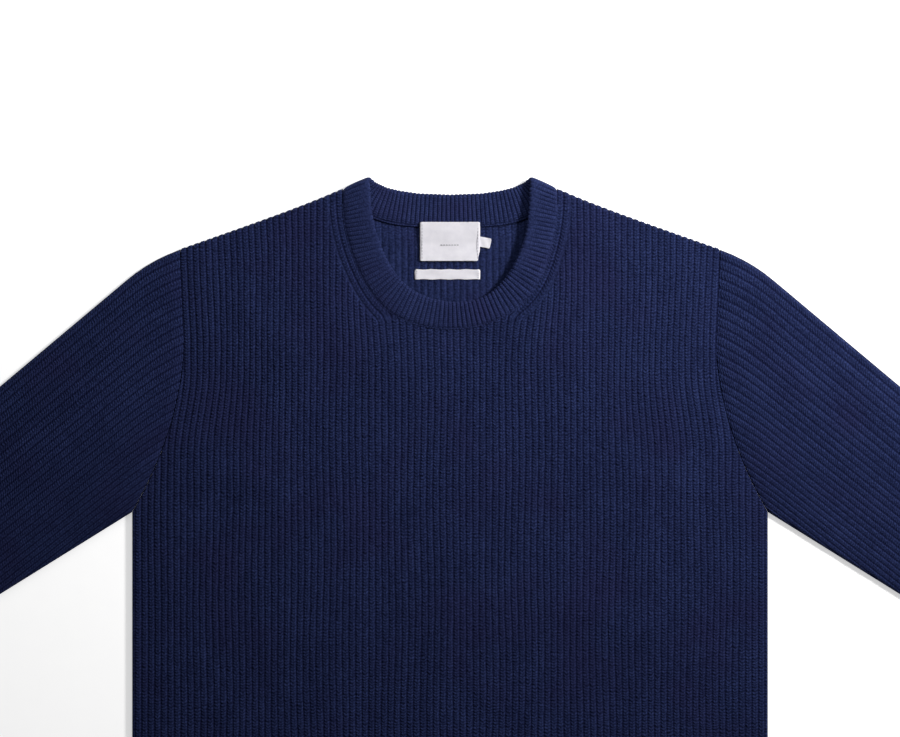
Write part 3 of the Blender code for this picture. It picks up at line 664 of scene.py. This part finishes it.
def tube_knit(name, place, runs, widths, pitch, ribs, rise, stitch, length, side):
    """A flattened tube, open at both ends: ribs all round it, and a plain lining inside."""
    samples = 6
    step = pitch / samples
    half = ribs * samples
    roll, inset = 0.0034, 0.0022
    top_z, wall = FRONT_LEVEL + CLOTH, 0.0016
    numbers = np.concatenate([np.arange(half + 1), np.arange(half, -1, -1)])
    upper = np.arange(len(numbers)) <= half
    end_roll = np.sin(np.linspace(0, math.pi / 2, 4)[:-1])
    full = np.concatenate([end_roll, np.ones(len(runs)), end_roll[::-1]])
    reach = 0.0012 / length
    at = np.concatenate([
        reach * (1 - np.sqrt(1 - end_roll**2)),
        reach + np.array(runs) * (1 - 2 * reach),
        1 - reach * (1 - np.sqrt(1 - end_roll[::-1] ** 2)),
    ])
    width_at = np.interp(at, [0, 1], widths)
    back = np.linspace(1, 0, 6)[1:]
    points = []
    for run, width, share in zip(at, width_at, full):
        across = np.minimum(numbers * step, width)
        near = np.minimum(across, width - across)
        bend = quarter(near / roll)
        crest = lobe(numbers * step / pitch)
        x, y = place(run, across / width).T
        free = smooth(near / 0.02) * smooth(run / 0.06) * smooth((1 - run) / 0.06)
        puff = (swell(1.7 * x, 1.7 * y) + sleeve_creases(run, across / width)) * free
        above = mix(FOLD_LEVEL, top_z + rise * crest + puff, bend)
        below = mix(FOLD_LEVEL, 0.55 * rise * (1 - crest), bend)
        z = np.where(upper, above, below)
        lining = np.where(upper, top_z - wall, wall)
        z = mix(lining, z, share)
        points.append(np.stack([side * x, y, z], axis=-1))
    for run in back:
        width = np.interp(run, [0, 1], widths)
        across = np.clip(np.minimum(numbers * step, width), inset, width - inset)
        if run == 0.0:
            points.append(points[0])
        else:
            x, y = place(run, across / width).T
            depth = smooth(np.minimum(across - inset, width - inset - across) / 0.003)
            z = mix(FOLD_LEVEL, np.where(upper, top_z - wall, wall), depth)
            points.append(np.stack([side * x, y, z], axis=-1))
    points = np.array(points).transpose(1, 0, 2)
    counts = down_rows(numbers * step / pitch, points.shape[1])
    stitches = np.concatenate([at, back]) * length / stitch
    knit = np.stack(np.broadcast_arrays(counts, stitches[None, :]), axis=-1)
    points = np.concatenate([points, points[:1]], axis=0)
    knit = np.concatenate([knit, knit[:1]], axis=0)
    return knit_shell(name, points, knit)


def sleeve_creases(run, share):
    """Soft creases across a sleeve."""
    height = np.zeros_like(share)
    for at_run, at_share, angle, half, width, rise in SLEEVE_CREASES:
        a, b = run - at_run, (share - at_share) * 0.27
        along = a * math.cos(angle) + b * math.sin(angle)
        off = b * math.cos(angle) - a * math.sin(angle)
        height += rise * np.exp(-((along / half) ** 2) * 2) * np.exp(-((off / width) ** 2) * 2)
    return height


def sleeve_and_cuff(wearer, side, body, rib):
    """One arm: the sleeve and its cuff."""
    full = SLEEVE_RIBS * RIB
    sleeve = tube_knit(
        f"{wearer}_sleeve_knit", sleeve_place, np.linspace(0, 1, 56), (full, CUFF_SEAM_WIDTH),
        RIB, SLEEVE_RIBS, RIB_RISE, STITCH, SLEEVE_LENGTH, side,
    )
    dress(sleeve, f"{wearer}_sleeve", body)
    cuff = tube_knit(
        f"{wearer}_cuff_knit", cuff_place, np.linspace(0, 1, 12), (CUFF_WIDTH, CUFF_WIDTH),
        CUFF_WIDTH / CUFF_RIBS, CUFF_RIBS, FINE_RISE, FINE_STITCH, CUFF_LENGTH, side,
    )
    dress(cuff, f"{wearer}_cuff", rib)


# The collar


def collar_sections():
    """Half the collar's sections from the middle of the front to the middle of the back, with
    several to a rib, and the rib count at each."""
    angles = math.pi / 2 * (1 - np.linspace(0, 1, 17))
    # near the shoulders the ribs lie level across the band
    seam_angles = angles - COLLAR_LEAN * np.sin(3 * angles) * (angles < math.pi / 3)
    keys = [
        (
            SEAM_HALF * math.cos(b),
            SEAM_TOP - SEAM_DROP * math.sin(b),
            mix(*SEAM_HEIGHTS, math.cos(b) ** 2),
            EDGE_HALF * math.cos(a),
            EDGE_TOP - EDGE_DROP * math.sin(a),
            mix(*EDGE_HEIGHTS, math.cos(a) ** 2),
            0,
        )
        for a, b in zip(angles, seam_angles)
    ]
    keys += COLLAR_FOLD
    flat = COLLAR_HALF
    keys += [(sx, float(back_neck_y(sx)), flat, ex, ey, flat, 180) for sx, ex, ey in COLLAR_BACK]
    keys = np.array(keys, dtype=float)
    middle = (keys[:, 0:3] + keys[:, 3:6]) / 2
    run = run_along(middle)
    ribs = round(run[-1] / FINE_PITCH * 2) / 2
    samples = round(ribs * 8)
    places = np.linspace(0, run[-1], samples + 1)
    rows = np.array([np.interp(places, run, column) for column in keys.T]).T
    for _ in range(6):
        rows[1:-1] = (rows[:-2] + 2 * rows[1:-1] + rows[2:]) / 4
    return rows, places / run[-1] * ribs


def collar_knit(material):
    """The doubled band of fine rib round the neck, folded over at the shoulders."""
    rows, counts = collar_sections()
    seam, edge, turn = rows[:, 0:3], rows[:, 3:6], np.radians(rows[:, 6:7])
    outer = np.concatenate([np.zeros_like(turn), np.sin(turn), np.cos(turn)], axis=1)
    across = edge - seam
    width = np.linalg.norm(across, axis=1, keepdims=True)
    across /= width
    outer -= across * np.sum(outer * across, axis=1, keepdims=True)
    outer /= np.linalg.norm(outer, axis=1, keepdims=True)
    crest = lobe(counts + 0.5, 0.86)[:, None]
    downward = smooth((rows[:, 6:7] - 100) / 60)
    # the rounded rim is plain beside the neck, and ribbed at its front and back
    beside = smooth((rows[:, 3:4] / EDGE_HALF - 0.58) / 0.28) * (1 - downward)
    # the share of the band's width, and of its full thickness there
    profile = [(0.0, 0.48), (0.03, 0.70), (0.08, 0.87), (0.18, 0.97), (0.40, 1.0), (0.62, 1.0)]
    for a in np.linspace(0, math.pi / 2, 6):
        profile.append((1 - 0.13 * (1 - math.sin(a)), math.cos(a)))
    rings, depths = [], []
    for face in (1, -1):
        for share, thick in profile if face == 1 else profile[::-1][1:]:
            rim = smooth((share - 0.56) / 0.22)
            depths.append(mix(0.5, 1.0, smooth(share / 0.14)) * mix(1.0, RIM_RELIEF, rim))
            at_rim = mix(1.0, mix(0.9, RIM_RELIEF, beside), rim)
            shown = mix(0.35, 1.0, smooth(share / 0.14)) * at_rim
            ribbed = COLLAR_RISE * crest * shown
            if face == 1:
                ribbed = mix(ribbed, -BACK_SINK * (1 - crest), downward)
            sunk = GROOVE_SINK * (1 - crest) * shown
            body = seam + across * width * share
            nose = across * RIM_BULGE * crest * smooth((share - 0.86) / 0.14)
            rings.append(body + nose + face * outer * (thick * (COLLAR_HALF + ribbed) - sunk))
    rings.append(rings[0])
    depths.append(depths[0])
    points = np.array(rings).transpose(1, 0, 2)
    points[:, :, 2] = np.maximum(points[:, :, 2], 0.0)
    around = run_along(points[20])
    mirrored = points[::-1][1:].copy()
    mirrored[:, :, 0] *= -1
    whole = np.concatenate([points, mirrored], axis=0)
    front = 1 - np.concatenate([downward, downward[::-1][1:]], axis=0)[:, None]
    whole = mix(whole, laid(whole), front)
    total = counts[-1]
    all_counts = np.concatenate([counts, 2 * total - counts[::-1][1:]]) + 0.5
    knit = np.stack(
        np.broadcast_arrays(all_counts[:, None], around[None, :] / FINE_STITCH), axis=-1
    )
    # relief: how strongly the stitches and the painted groove shade show; beside the neck, less
    # near the seam and little on the rim
    relief = 1 - (1 - np.array(depths)[None, :]) * beside
    relief = np.concatenate([relief, relief[::-1][1:]], axis=0)
    piece = knit_shell("collar_knit", whole, knit, relief)
    dress(piece, "collar", material)
    return piece, rows


def yarn_line(name, path, radius, material):
    """A chain of linking stitches that runs along a seam."""
    path = np.array(path)
    ahead = np.gradient(path, axis=0)
    ahead /= np.linalg.norm(ahead, axis=1, keepdims=True)
    up = np.array((0.0, 0.0, 1.0))
    beside = np.cross(ahead, up)
    beside /= np.linalg.norm(beside, axis=1, keepdims=True)
    run = run_along(path)
    angles = np.linspace(0, 2 * math.pi, 9)
    swollen = 1 + 0.18 * np.cos(2 * math.pi * run / LINK_STITCH)
    rings = [
        path
        + (radius * swollen)[:, None] * (beside * 1.25 * math.cos(a) + up * math.sin(a))
        for a in angles
    ]
    points = np.array(rings).transpose(1, 0, 2)
    turns = angles[None, :] / (2 * math.pi)
    knit = np.stack(np.broadcast_arrays(run[:, None] / LINK_STITCH, turns), axis=-1)
    piece = knit_shell(name, points, knit)
    piece.data.materials.clear()
    piece.data.materials.append(material)
    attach(piece, "root")
    return piece


def neck_linking(material):
    """The chain that joins the collar to the front and to the back."""
    angles = np.linspace(0.035, math.pi - 0.035, 420)
    raised = np.cos(angles) ** 2
    outward = 0.0002
    front = np.stack([
        (SEAM_HALF + outward) * np.cos(angles),
        SEAM_TOP - (SEAM_DROP + outward) * np.sin(angles),
        mix(SEAM_HEIGHTS[0], SEAM_HEIGHTS[1], raised) + 0.0008,
    ], axis=-1)
    x = np.linspace(-0.0800, 0.0800, 220)
    inside = np.stack([x, back_neck_y(x) - 0.0002, np.full_like(x, 0.0031)], axis=-1)
    return [
        yarn_line("front_linking", laid(front), FRONT_LINK, material),
        yarn_line("back_linking", inside, BACK_LINK, material),
    ]


# Labels


def label_piece(name, size, centre, height, turn=0.0, cut_corner=0.0, fray=0.0, thin=0.00022):
    """A blank woven label: thin, a little wavy, with its corners rounded."""
    across = np.linspace(0, 1, 44)
    along = np.concatenate([np.linspace(0, 0.04, 5)[:-1], np.linspace(0.04, 0.96, 24),
                            np.linspace(0.96, 1, 5)[1:]])
    u, v = np.meshgrid(across, along, indexing="ij")
    radius = min(LABEL_CORNER, size[1] / 2)
    past = np.maximum(radius - np.minimum(v, 1 - v) * size[1], 0.0)
    narrow = radius - np.sqrt(radius**2 - past**2)
    x, y = (u - 0.5) * (size[0] - 2 * narrow), (v - 0.5) * size[1]
    x = x - cut_corner * np.maximum(u - 0.6, 0.0) / 0.4 * smooth(1 - v / 0.35)
    x = x + 0.00022 * np.sin(31 * v + 1) * (u - 0.5)
    teeth = fray * np.sin(np.arange(len(along)) * 2.4) * np.sin(np.arange(len(along)) * 0.9)
    x = x + teeth[None, :] * np.where((u < 0.01) | (u > 0.99), np.sign(u - 0.5), 0.0)
    y = y + 0.35 * fray * np.sin(23 * u + 2) * (2 * v - 1)
    c, s = math.cos(turn), math.sin(turn)
    px, py = centre[0] + c * x - s * y, centre[1] + s * x + c * y
    wave = 0.00018 * np.sin(9 * u + 2) * np.sin(5 * v) + 0.00025 * (2 * u - 1) ** 4
    z = height(u, v) + wave
    edge = np.minimum(np.minimum(u, 1 - u), np.minimum(v, 1 - v)) < 0.001
    above = np.stack([px, py, z + thin * np.where(edge, 0.3, 1.0)], axis=-1)
    below = np.stack([px, py, z - thin * np.where(edge, 0.3, 1.0)], axis=-1)
    points = np.concatenate([above, below[:, ::-1], above[:, :1]], axis=1)
    sides = np.stack([u, v], axis=-1)
    knit = np.concatenate([sides, sides[:, ::-1], sides[:, :1]], axis=1)
    return knit_shell(name, points, knit, merge=0.000005)


def stitch_row(name, begin, end, count, material):
    """A row of short sewing stitches between two places, as one piece."""
    begin, end = Vector(begin), Vector(end)
    step = (end - begin) / count
    bpy.ops.object.select_all(action="DESELECT")
    made = []
    for number in range(count):
        middle = begin + step * (number + 0.5) + Vector((0.0, NECK_Y, 0.0))
        bpy.ops.mesh.primitive_uv_sphere_add(segments=8, ring_count=6, location=middle)
        stitch = bpy.context.object
        stitch.scale = (0.45 * step.length, 0.00032, 0.00022)
        stitch.rotation_euler = step.to_track_quat("X", "Z").to_euler()
        made.append(stitch)
    for stitch in made:
        stitch.select_set(True)
    bpy.context.view_layer.objects.active = made[0]
    bpy.ops.object.join()
    row = bpy.context.object
    row.name = name
    bpy.ops.object.transform_apply(location=True, rotation=True, scale=True)
    bpy.ops.object.shade_smooth()
    row.data.materials.append(material)
    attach(row, "root")
    return row


def labels(material, thread, dark_thread):
    """The neck label, the size tab beside it and the care strip below, sewn at their ends."""
    over_back = BACK_LEVEL + LABEL_LIFT
    band_top = 2 * COLLAR_HALF + COLLAR_RISE + 0.0006
    width, length = LABEL_SIZE
    middle_y = LABEL_TOP_Y - length / 2

    def draped(u, v):
        lifted = LABEL_LIFT * smooth(1 - v / 0.5) * mix(0.7, 1.3, u)
        return mix(over_back, band_top, smooth(v * 1.05)) + lifted

    def on_label(u, v):
        place = float(draped(np.array(u), np.array(v))) + SEWN_LIFT
        return ((u - 0.5) * width, middle_y + (v - 0.5) * length, place)

    neck = label_piece("neck_label_cloth", LABEL_SIZE, (0.0, middle_y), draped,
                       cut_corner=CUT_CORNER)
    tab = label_piece("size_tab_cloth", TAB_SIZE, TAB_PLACE,
                      lambda u, v: np.full_like(u, over_back + 0.0002), turn=TAB_TURN)
    strip = label_piece("care_strip_cloth", STRIP_SIZE, STRIP_PLACE,
                        lambda u, v: np.full_like(u, over_back), fray=FRAY)
    dress(neck, "neck_label", material)
    dress(tab, "size_tab", material)
    dress(strip, "care_strip", material)
    rows = [
        stitch_row(f"label_stitches_{where}", on_label(u, 0.05), on_label(u, 0.95), 11, thread)
        for where, u in (("left", 0.965), ("right", 0.035))
    ]
    rows.append(
        stitch_row("label_rule", on_label(0.335, 0.41), on_label(0.65, 0.41), 7, dark_thread)
    )
    level = over_back + SEWN_LIFT
    for where, side in (("left", 1), ("right", -1)):
        x = STRIP_PLACE[0] + side * (STRIP_SIZE[0] / 2 - 0.0016)
        reach = STRIP_SIZE[1] / 2 - 0.0010
        begin = (x, STRIP_PLACE[1] - reach, level)
        end = (x, STRIP_PLACE[1] + reach, level)
        rows.append(stitch_row(f"strip_stitches_{where}", begin, end, 4, thread))


# Finishes

ADD, SUBTRACT, MULTIPLY, MULTIPLY_ADD, MAXIMUM = (
    {"operation": name} for name in ("ADD", "SUBTRACT", "MULTIPLY", "MULTIPLY_ADD", "MAXIMUM")
)
ABSOLUTE, FRACT, FLOOR, SINE = (
    {"operation": name} for name in ("ABSOLUTE", "FRACT", "FLOOR", "SINE")
)
EASE = {"interpolation_type": "SMOOTHSTEP"}


def linear(code):
    """A colour written as an sRGB hex value, turned linear, with full alpha."""
    parts = [int(code[i : i + 2], 16) / 255 for i in (1, 3, 5)]
    turned = [c / 12.92 if c <= 0.04045 else ((c + 0.055) / 1.055) ** 2.4 for c in parts]
    return (*turned, 1.0)


def feed(tree, node, inputs):
    """Sets a node's inputs, given in order or by name: to a value, or linked from a socket or
    from another node's first output."""
    for key, value in inputs.items() if isinstance(inputs, dict) else enumerate(inputs):
        if isinstance(value, bpy.types.Node):
            value = value.outputs[0]
        if isinstance(value, bpy.types.NodeSocket):
            tree.links.new(value, node.inputs[key])
        else:
            node.inputs[key].default_value = value


def add(tree, kind, settings=None, inputs=()):
    """Adds a node with its settings and its inputs."""
    node = tree.nodes.new("ShaderNode" + kind)
    for key, value in (settings or {}).items():
        setattr(node, key, value)
    feed(tree, node, inputs)
    return node


def new_material(name):
    """An empty material, with its shader and its node tree."""
    material = bpy.data.materials.new(name)
    material.use_nodes = True
    tree = material.node_tree
    return material, tree, tree.nodes["Principled BSDF"]


def ribbed_wool(name, painted_shade_colour, body, crest, violet, stitch_depth, groove_shade, parting_shade):
    """Carded wool, knitted in rib on a coarse machine: matt, hairy yarn. Each rib is a column
    of stitches like small arrowheads, with painted shade where the ribs meet and along its
    middle, where the stitches' two legs part, and the legs painted lighter than the hollows
    between them as painted highlight. Pale loose fibres speckle it, and the dye takes a little
    differently from rib to rib."""
    material, tree, shader = new_material(name)
    uv = add(tree, "UVMap", {"uv_map": "knit"})
    place = add(tree, "TexCoord").outputs["Object"]
    across, along = add(tree, "SeparateXYZ", None, (uv,)).outputs[:2]
    depth = add(tree, "Attribute", {"attribute_name": "rib_depth"}).outputs["Fac"]
    fields = {
        what: add(tree, "TexNoise", None, {
            "Vector": place, "Scale": scale, "Detail": detail, "Roughness": roughness,
        })
        for what, scale, detail, roughness in WOOL_FIELDS
    }
    stray, jostle, cloud = (
        add(tree, "Math", SUBTRACT, (fields[what], 0.5)) for what in ("stray", "jostle", "cloud")
    )
    # side is 0 along a rib's middle and 1 in its grooves; uneven yarn pushes the stitches about
    within = add(tree, "Math", SUBTRACT, (add(tree, "Math", FRACT, (across,)), 0.5))
    middle = add(tree, "Math", ABSOLUTE, (within,))
    shaken = add(tree, "Math", MULTIPLY, (jostle, 0.40))
    side = add(tree, "Math", MULTIPLY_ADD, (middle, 2.0, shaken))
    slant = add(tree, "Math", MULTIPLY_ADD, (stray, 1.8, along))
    slant = add(tree, "Math", MULTIPLY_ADD, (side, -0.55, slant))
    wave = add(tree, "Math", SINE, (add(tree, "Math", MULTIPLY, (slant, 2 * math.pi)),))
    leg = add(tree, "Math", MULTIPLY_ADD, (wave, 0.5, 0.5))
    knitted = add(tree, "Math", SUBTRACT, (leg, STITCH_MEAN))
    stitches = add(tree, "Math", MULTIPLY_ADD, (knitted, depth, STITCH_MEAN))
    # painted shade: the painted shade colour is mixed in along a rib's middle, where the legs
    # part, and towards its grooves, as strongly as the rib is drawn
    parting = add(tree, "MapRange", EASE, (side, 0.04, 0.40, parting_shade, 0.0))
    groove = add(tree, "MapRange", EASE, (side, 1.0 - GROOVE_SHARE, 1.0, 0.0, groove_shade))
    darkest = add(tree, "Math", MAXIMUM, (parting, groove))
    shade = add(tree, "Math", MULTIPLY, (darkest, depth))
    fibre = add(tree, "MapRange", EASE, (fields["fibre"], 0.36, 0.66, 0.0, 1.0))
    # one tone for each rib, which changes slowly along it
    strand = add(tree, "CombineXYZ", None, (
        add(tree, "Math", MULTIPLY, (add(tree, "Math", FLOOR, (across,)), 7.3)),
        add(tree, "Math", MULTIPLY, (along, 0.035)),
    ))
    streaks = add(tree, "TexNoise", None, {
        "Vector": strand, "Scale": 1.0, "Detail": 2.0, "Roughness": 0.6,
    })
    streak = add(tree, "Math", SUBTRACT, (streaks, 0.5))
    # tone: the stitches' legs are painted lighter than the hollows between them, a painted
    # highlight, while the pale fibres, clouds and streaks are the wool's own; the ramp's crest
    # colour is its light end
    tone = add(tree, "Math", MULTIPLY, (stitches, 0.36))
    for part, weight in ((fibre, 0.44), (cloud, 0.35), (streak, 0.45)):
        tone = add(tree, "Math", MULTIPLY_ADD, (part, weight, tone))
    ramp = add(tree, "ValToRGB", None, (tone,))
    for element, position, shown in zip(ramp.color_ramp.elements, (0.08, 0.95), (body, crest)):
        element.position, element.color = position, linear(shown)
    dyed = add(tree, "Mix", {"data_type": "RGBA"}, {
        0: add(tree, "MapRange", EASE, (fields["dye"], 0.45, 0.7, 0.0, 0.35)),
        6: ramp,
        7: linear(violet),
    }).outputs[2]
    # the dyed wool with the painted shade mixed in
    colour = add(tree, "Mix", {"data_type": "RGBA"}, {0: shade, 6: dyed, 7: linear(painted_shade_colour)})
    relief = add(tree, "Math", MULTIPLY_ADD, (fibre, 0.55, stitches))
    bump = add(tree, "Bump", None, {"Strength": 0.5, "Distance": stitch_depth, "Height": relief})
    feed(tree, shader, {
        "Base Color": colour.outputs[2], "Normal": bump, "Roughness": 0.93, "IOR": 1.45,
        "Specular IOR Level": 0.10, "Sheen Weight": 0.05, "Sheen Roughness": 0.45,
        "Sheen Tint": linear("#7c88c0"),
    })
    return material


def woven_tape(name):
    """Polyester label tape in satin weave: smooth and pale, with fine cross threads and a soft
    gloss. Its threads lie 0.8 and 1.0 mm apart, coarser than real ones, so that they show."""
    material, tree, shader = new_material(name)
    place = add(tree, "TexCoord").outputs["Object"]
    parts = add(tree, "SeparateXYZ", None, (place,)).outputs
    warp, weft = (
        add(tree, "Math", SINE, (add(tree, "Math", MULTIPLY, (part, 2 * math.pi / gap)),))
        for part, gap in ((parts["X"], 0.0008), (parts["Y"], 0.0010))
    )
    both = add(tree, "Math", ADD, (warp, weft))
    threads = add(tree, "Math", MULTIPLY_ADD, (both, 0.25, 0.5))
    cloud = add(tree, "TexNoise", None, {"Vector": place, "Scale": 160.0, "Detail": 4.0})
    clouded = add(tree, "Math", MULTIPLY, (cloud, 0.65))
    tone = add(tree, "Math", MULTIPLY_ADD, (threads, 0.35, clouded))
    ramp = add(tree, "ValToRGB", None, (tone,))
    stops = zip(ramp.color_ramp.elements, (0.25, 0.8), ("#dfdde6", "#f5f3f9"))
    for element, position, shown in stops:
        element.position, element.color = position, linear(shown)
    bump = add(tree, "Bump", None, {"Strength": 0.5, "Distance": 0.0002, "Height": threads})
    feed(tree, shader, {
        "Base Color": ramp, "Normal": bump, "Roughness": 0.55, "Sheen Weight": 0.15,
    })
    return material


def sewing_thread(name, low, high):
    """Polyester sewing thread: two plies with a faint twist and a soft gloss."""
    material, tree, shader = new_material(name)
    place = add(tree, "TexCoord").outputs["Object"]
    twist = add(tree, "TexWave", {"bands_direction": "DIAGONAL"}, {
        "Vector": place, "Scale": 900.0, "Distortion": 0.6,
    }).outputs["Fac"]
    ramp = add(tree, "ValToRGB", None, (twist,))
    ramp.color_ramp.elements[0].color = linear(low)
    ramp.color_ramp.elements[1].color = linear(high)
    bump = add(tree, "Bump", None, {"Strength": 0.4, "Distance": 0.0001, "Height": twist})
    feed(tree, shader, {
        "Base Color": ramp, "Normal": bump, "Roughness": 0.5, "Sheen Weight": 0.1,
    })
    return material


def light_table():
    """Opal acrylic over a lamp, as small goods are photographed on: matt, white, glowing."""
    material, tree, shader = new_material("opal_acrylic")
    place = add(tree, "TexCoord").outputs["Object"]
    grain = add(tree, "TexNoise", None, {"Vector": place, "Scale": 60.0})
    ramp = add(tree, "ValToRGB", None, (grain,))
    ramp.color_ramp.elements[0].color = linear("#f4f4f5")
    ramp.color_ramp.elements[1].color = linear("#fafafa")
    white = (1.0, 1.0, 1.0, 1.0)
    feed(tree, shader, {
        "Base Color": ramp, "Roughness": 0.9, "Emission Color": white, "Emission Strength": 0.52,
    })
    bpy.ops.object.select_all(action="DESELECT")
    bpy.ops.mesh.primitive_plane_add(size=14.0, location=(0, 0, -0.0004))
    floor = bpy.context.object
    floor.name = "light_table"
    floor.data.materials.append(material)


def studio():
    """A softbox to the right, a weak one beyond the neck, and the camera straight above."""

    def softbox(name, place, target, size, spread, power, colour):
        data = bpy.data.lights.new(name, "AREA")
        data.shape = "DISK"
        data.size = size
        data.spread = math.radians(spread)
        data.energy = power
        data.color = colour
        lamp = bpy.data.objects.new(name, data)
        lamp.location = place
        aim = Vector(target) - Vector(place)
        lamp.rotation_euler = aim.to_track_quat("-Z", "Y").to_euler()
        bpy.context.scene.collection.objects.link(lamp)

    softbox("key_softbox", (0.954, 0.645, 0.793), (0.0, 0.36, 0.0), 0.26, 130, 9.0,
            (1.0, 0.99, 0.98))
    softbox("fill_softbox", (0.0, 0.98, 0.6), (0.0, 0.36, 0.0), 0.8, 180, 2.9,
            (0.97, 0.985, 1.0))
    world = bpy.data.worlds.new("studio_air")
    world.use_nodes = True
    world.node_tree.nodes["Background"].inputs[0].default_value = (1.0, 1.0, 1.0, 1.0)
    world.node_tree.nodes["Background"].inputs[1].default_value = 0.08
    bpy.context.scene.world = world
    bpy.context.scene.view_settings.view_transform = "Standard"
    data = bpy.data.cameras.new("above")
    data.lens = 100.0
    data.sensor_width = 36.0
    picture_width, picture_middle = 0.792, -0.1584
    camera = bpy.data.objects.new("above", data)
    distance = picture_width * data.lens / data.sensor_width
    camera.location = (0.0, NECK_Y + picture_middle, distance + 0.005)
    bpy.context.scene.collection.objects.link(camera)
    bpy.context.scene.camera = camera


def main():
    """Dresses the whole sweater."""
    # each wool's first colour is painted shade for its grooves and its ribs' middles, and its
    # last two numbers set how dark that painted shade is in the grooves and in the middles
    body_wool = ribbed_wool("lambswool_body_rib", "#0d1231", "#151d3d", "#323e6d", "#252147",
                            0.0007, 0.92, 0.42)
    fine_wool = ribbed_wool("lambswool_fine_rib", "#0c1132", "#192143", "#35406f", "#28234b",
                            0.0005, 0.70, 0.06)
    tape = woven_tape("satin_label_tape")
    thread = sewing_thread("grey_sewing_thread", "#a2a1ab", "#c0bfc8")
    dark_thread = sewing_thread("charcoal_sewing_thread", "#3f3e48", "#5d5c66")
    front_knit(body_wool)
    back_knit(body_wool)
    hem_knit("front_hem_knit", "front_hem", True, fine_wool)
    hem_knit("back_hem_knit", "back_hem", False, fine_wool)
    for wearer, side in (("left", 1), ("right", -1)):
        sleeve_and_cuff(wearer, side, body_wool, fine_wool)
    collar, rows = collar_knit(fine_wool)
    linking = neck_linking(fine_wool)
    labels(tape, thread, dark_thread)
    light_table()
    studio()


main()
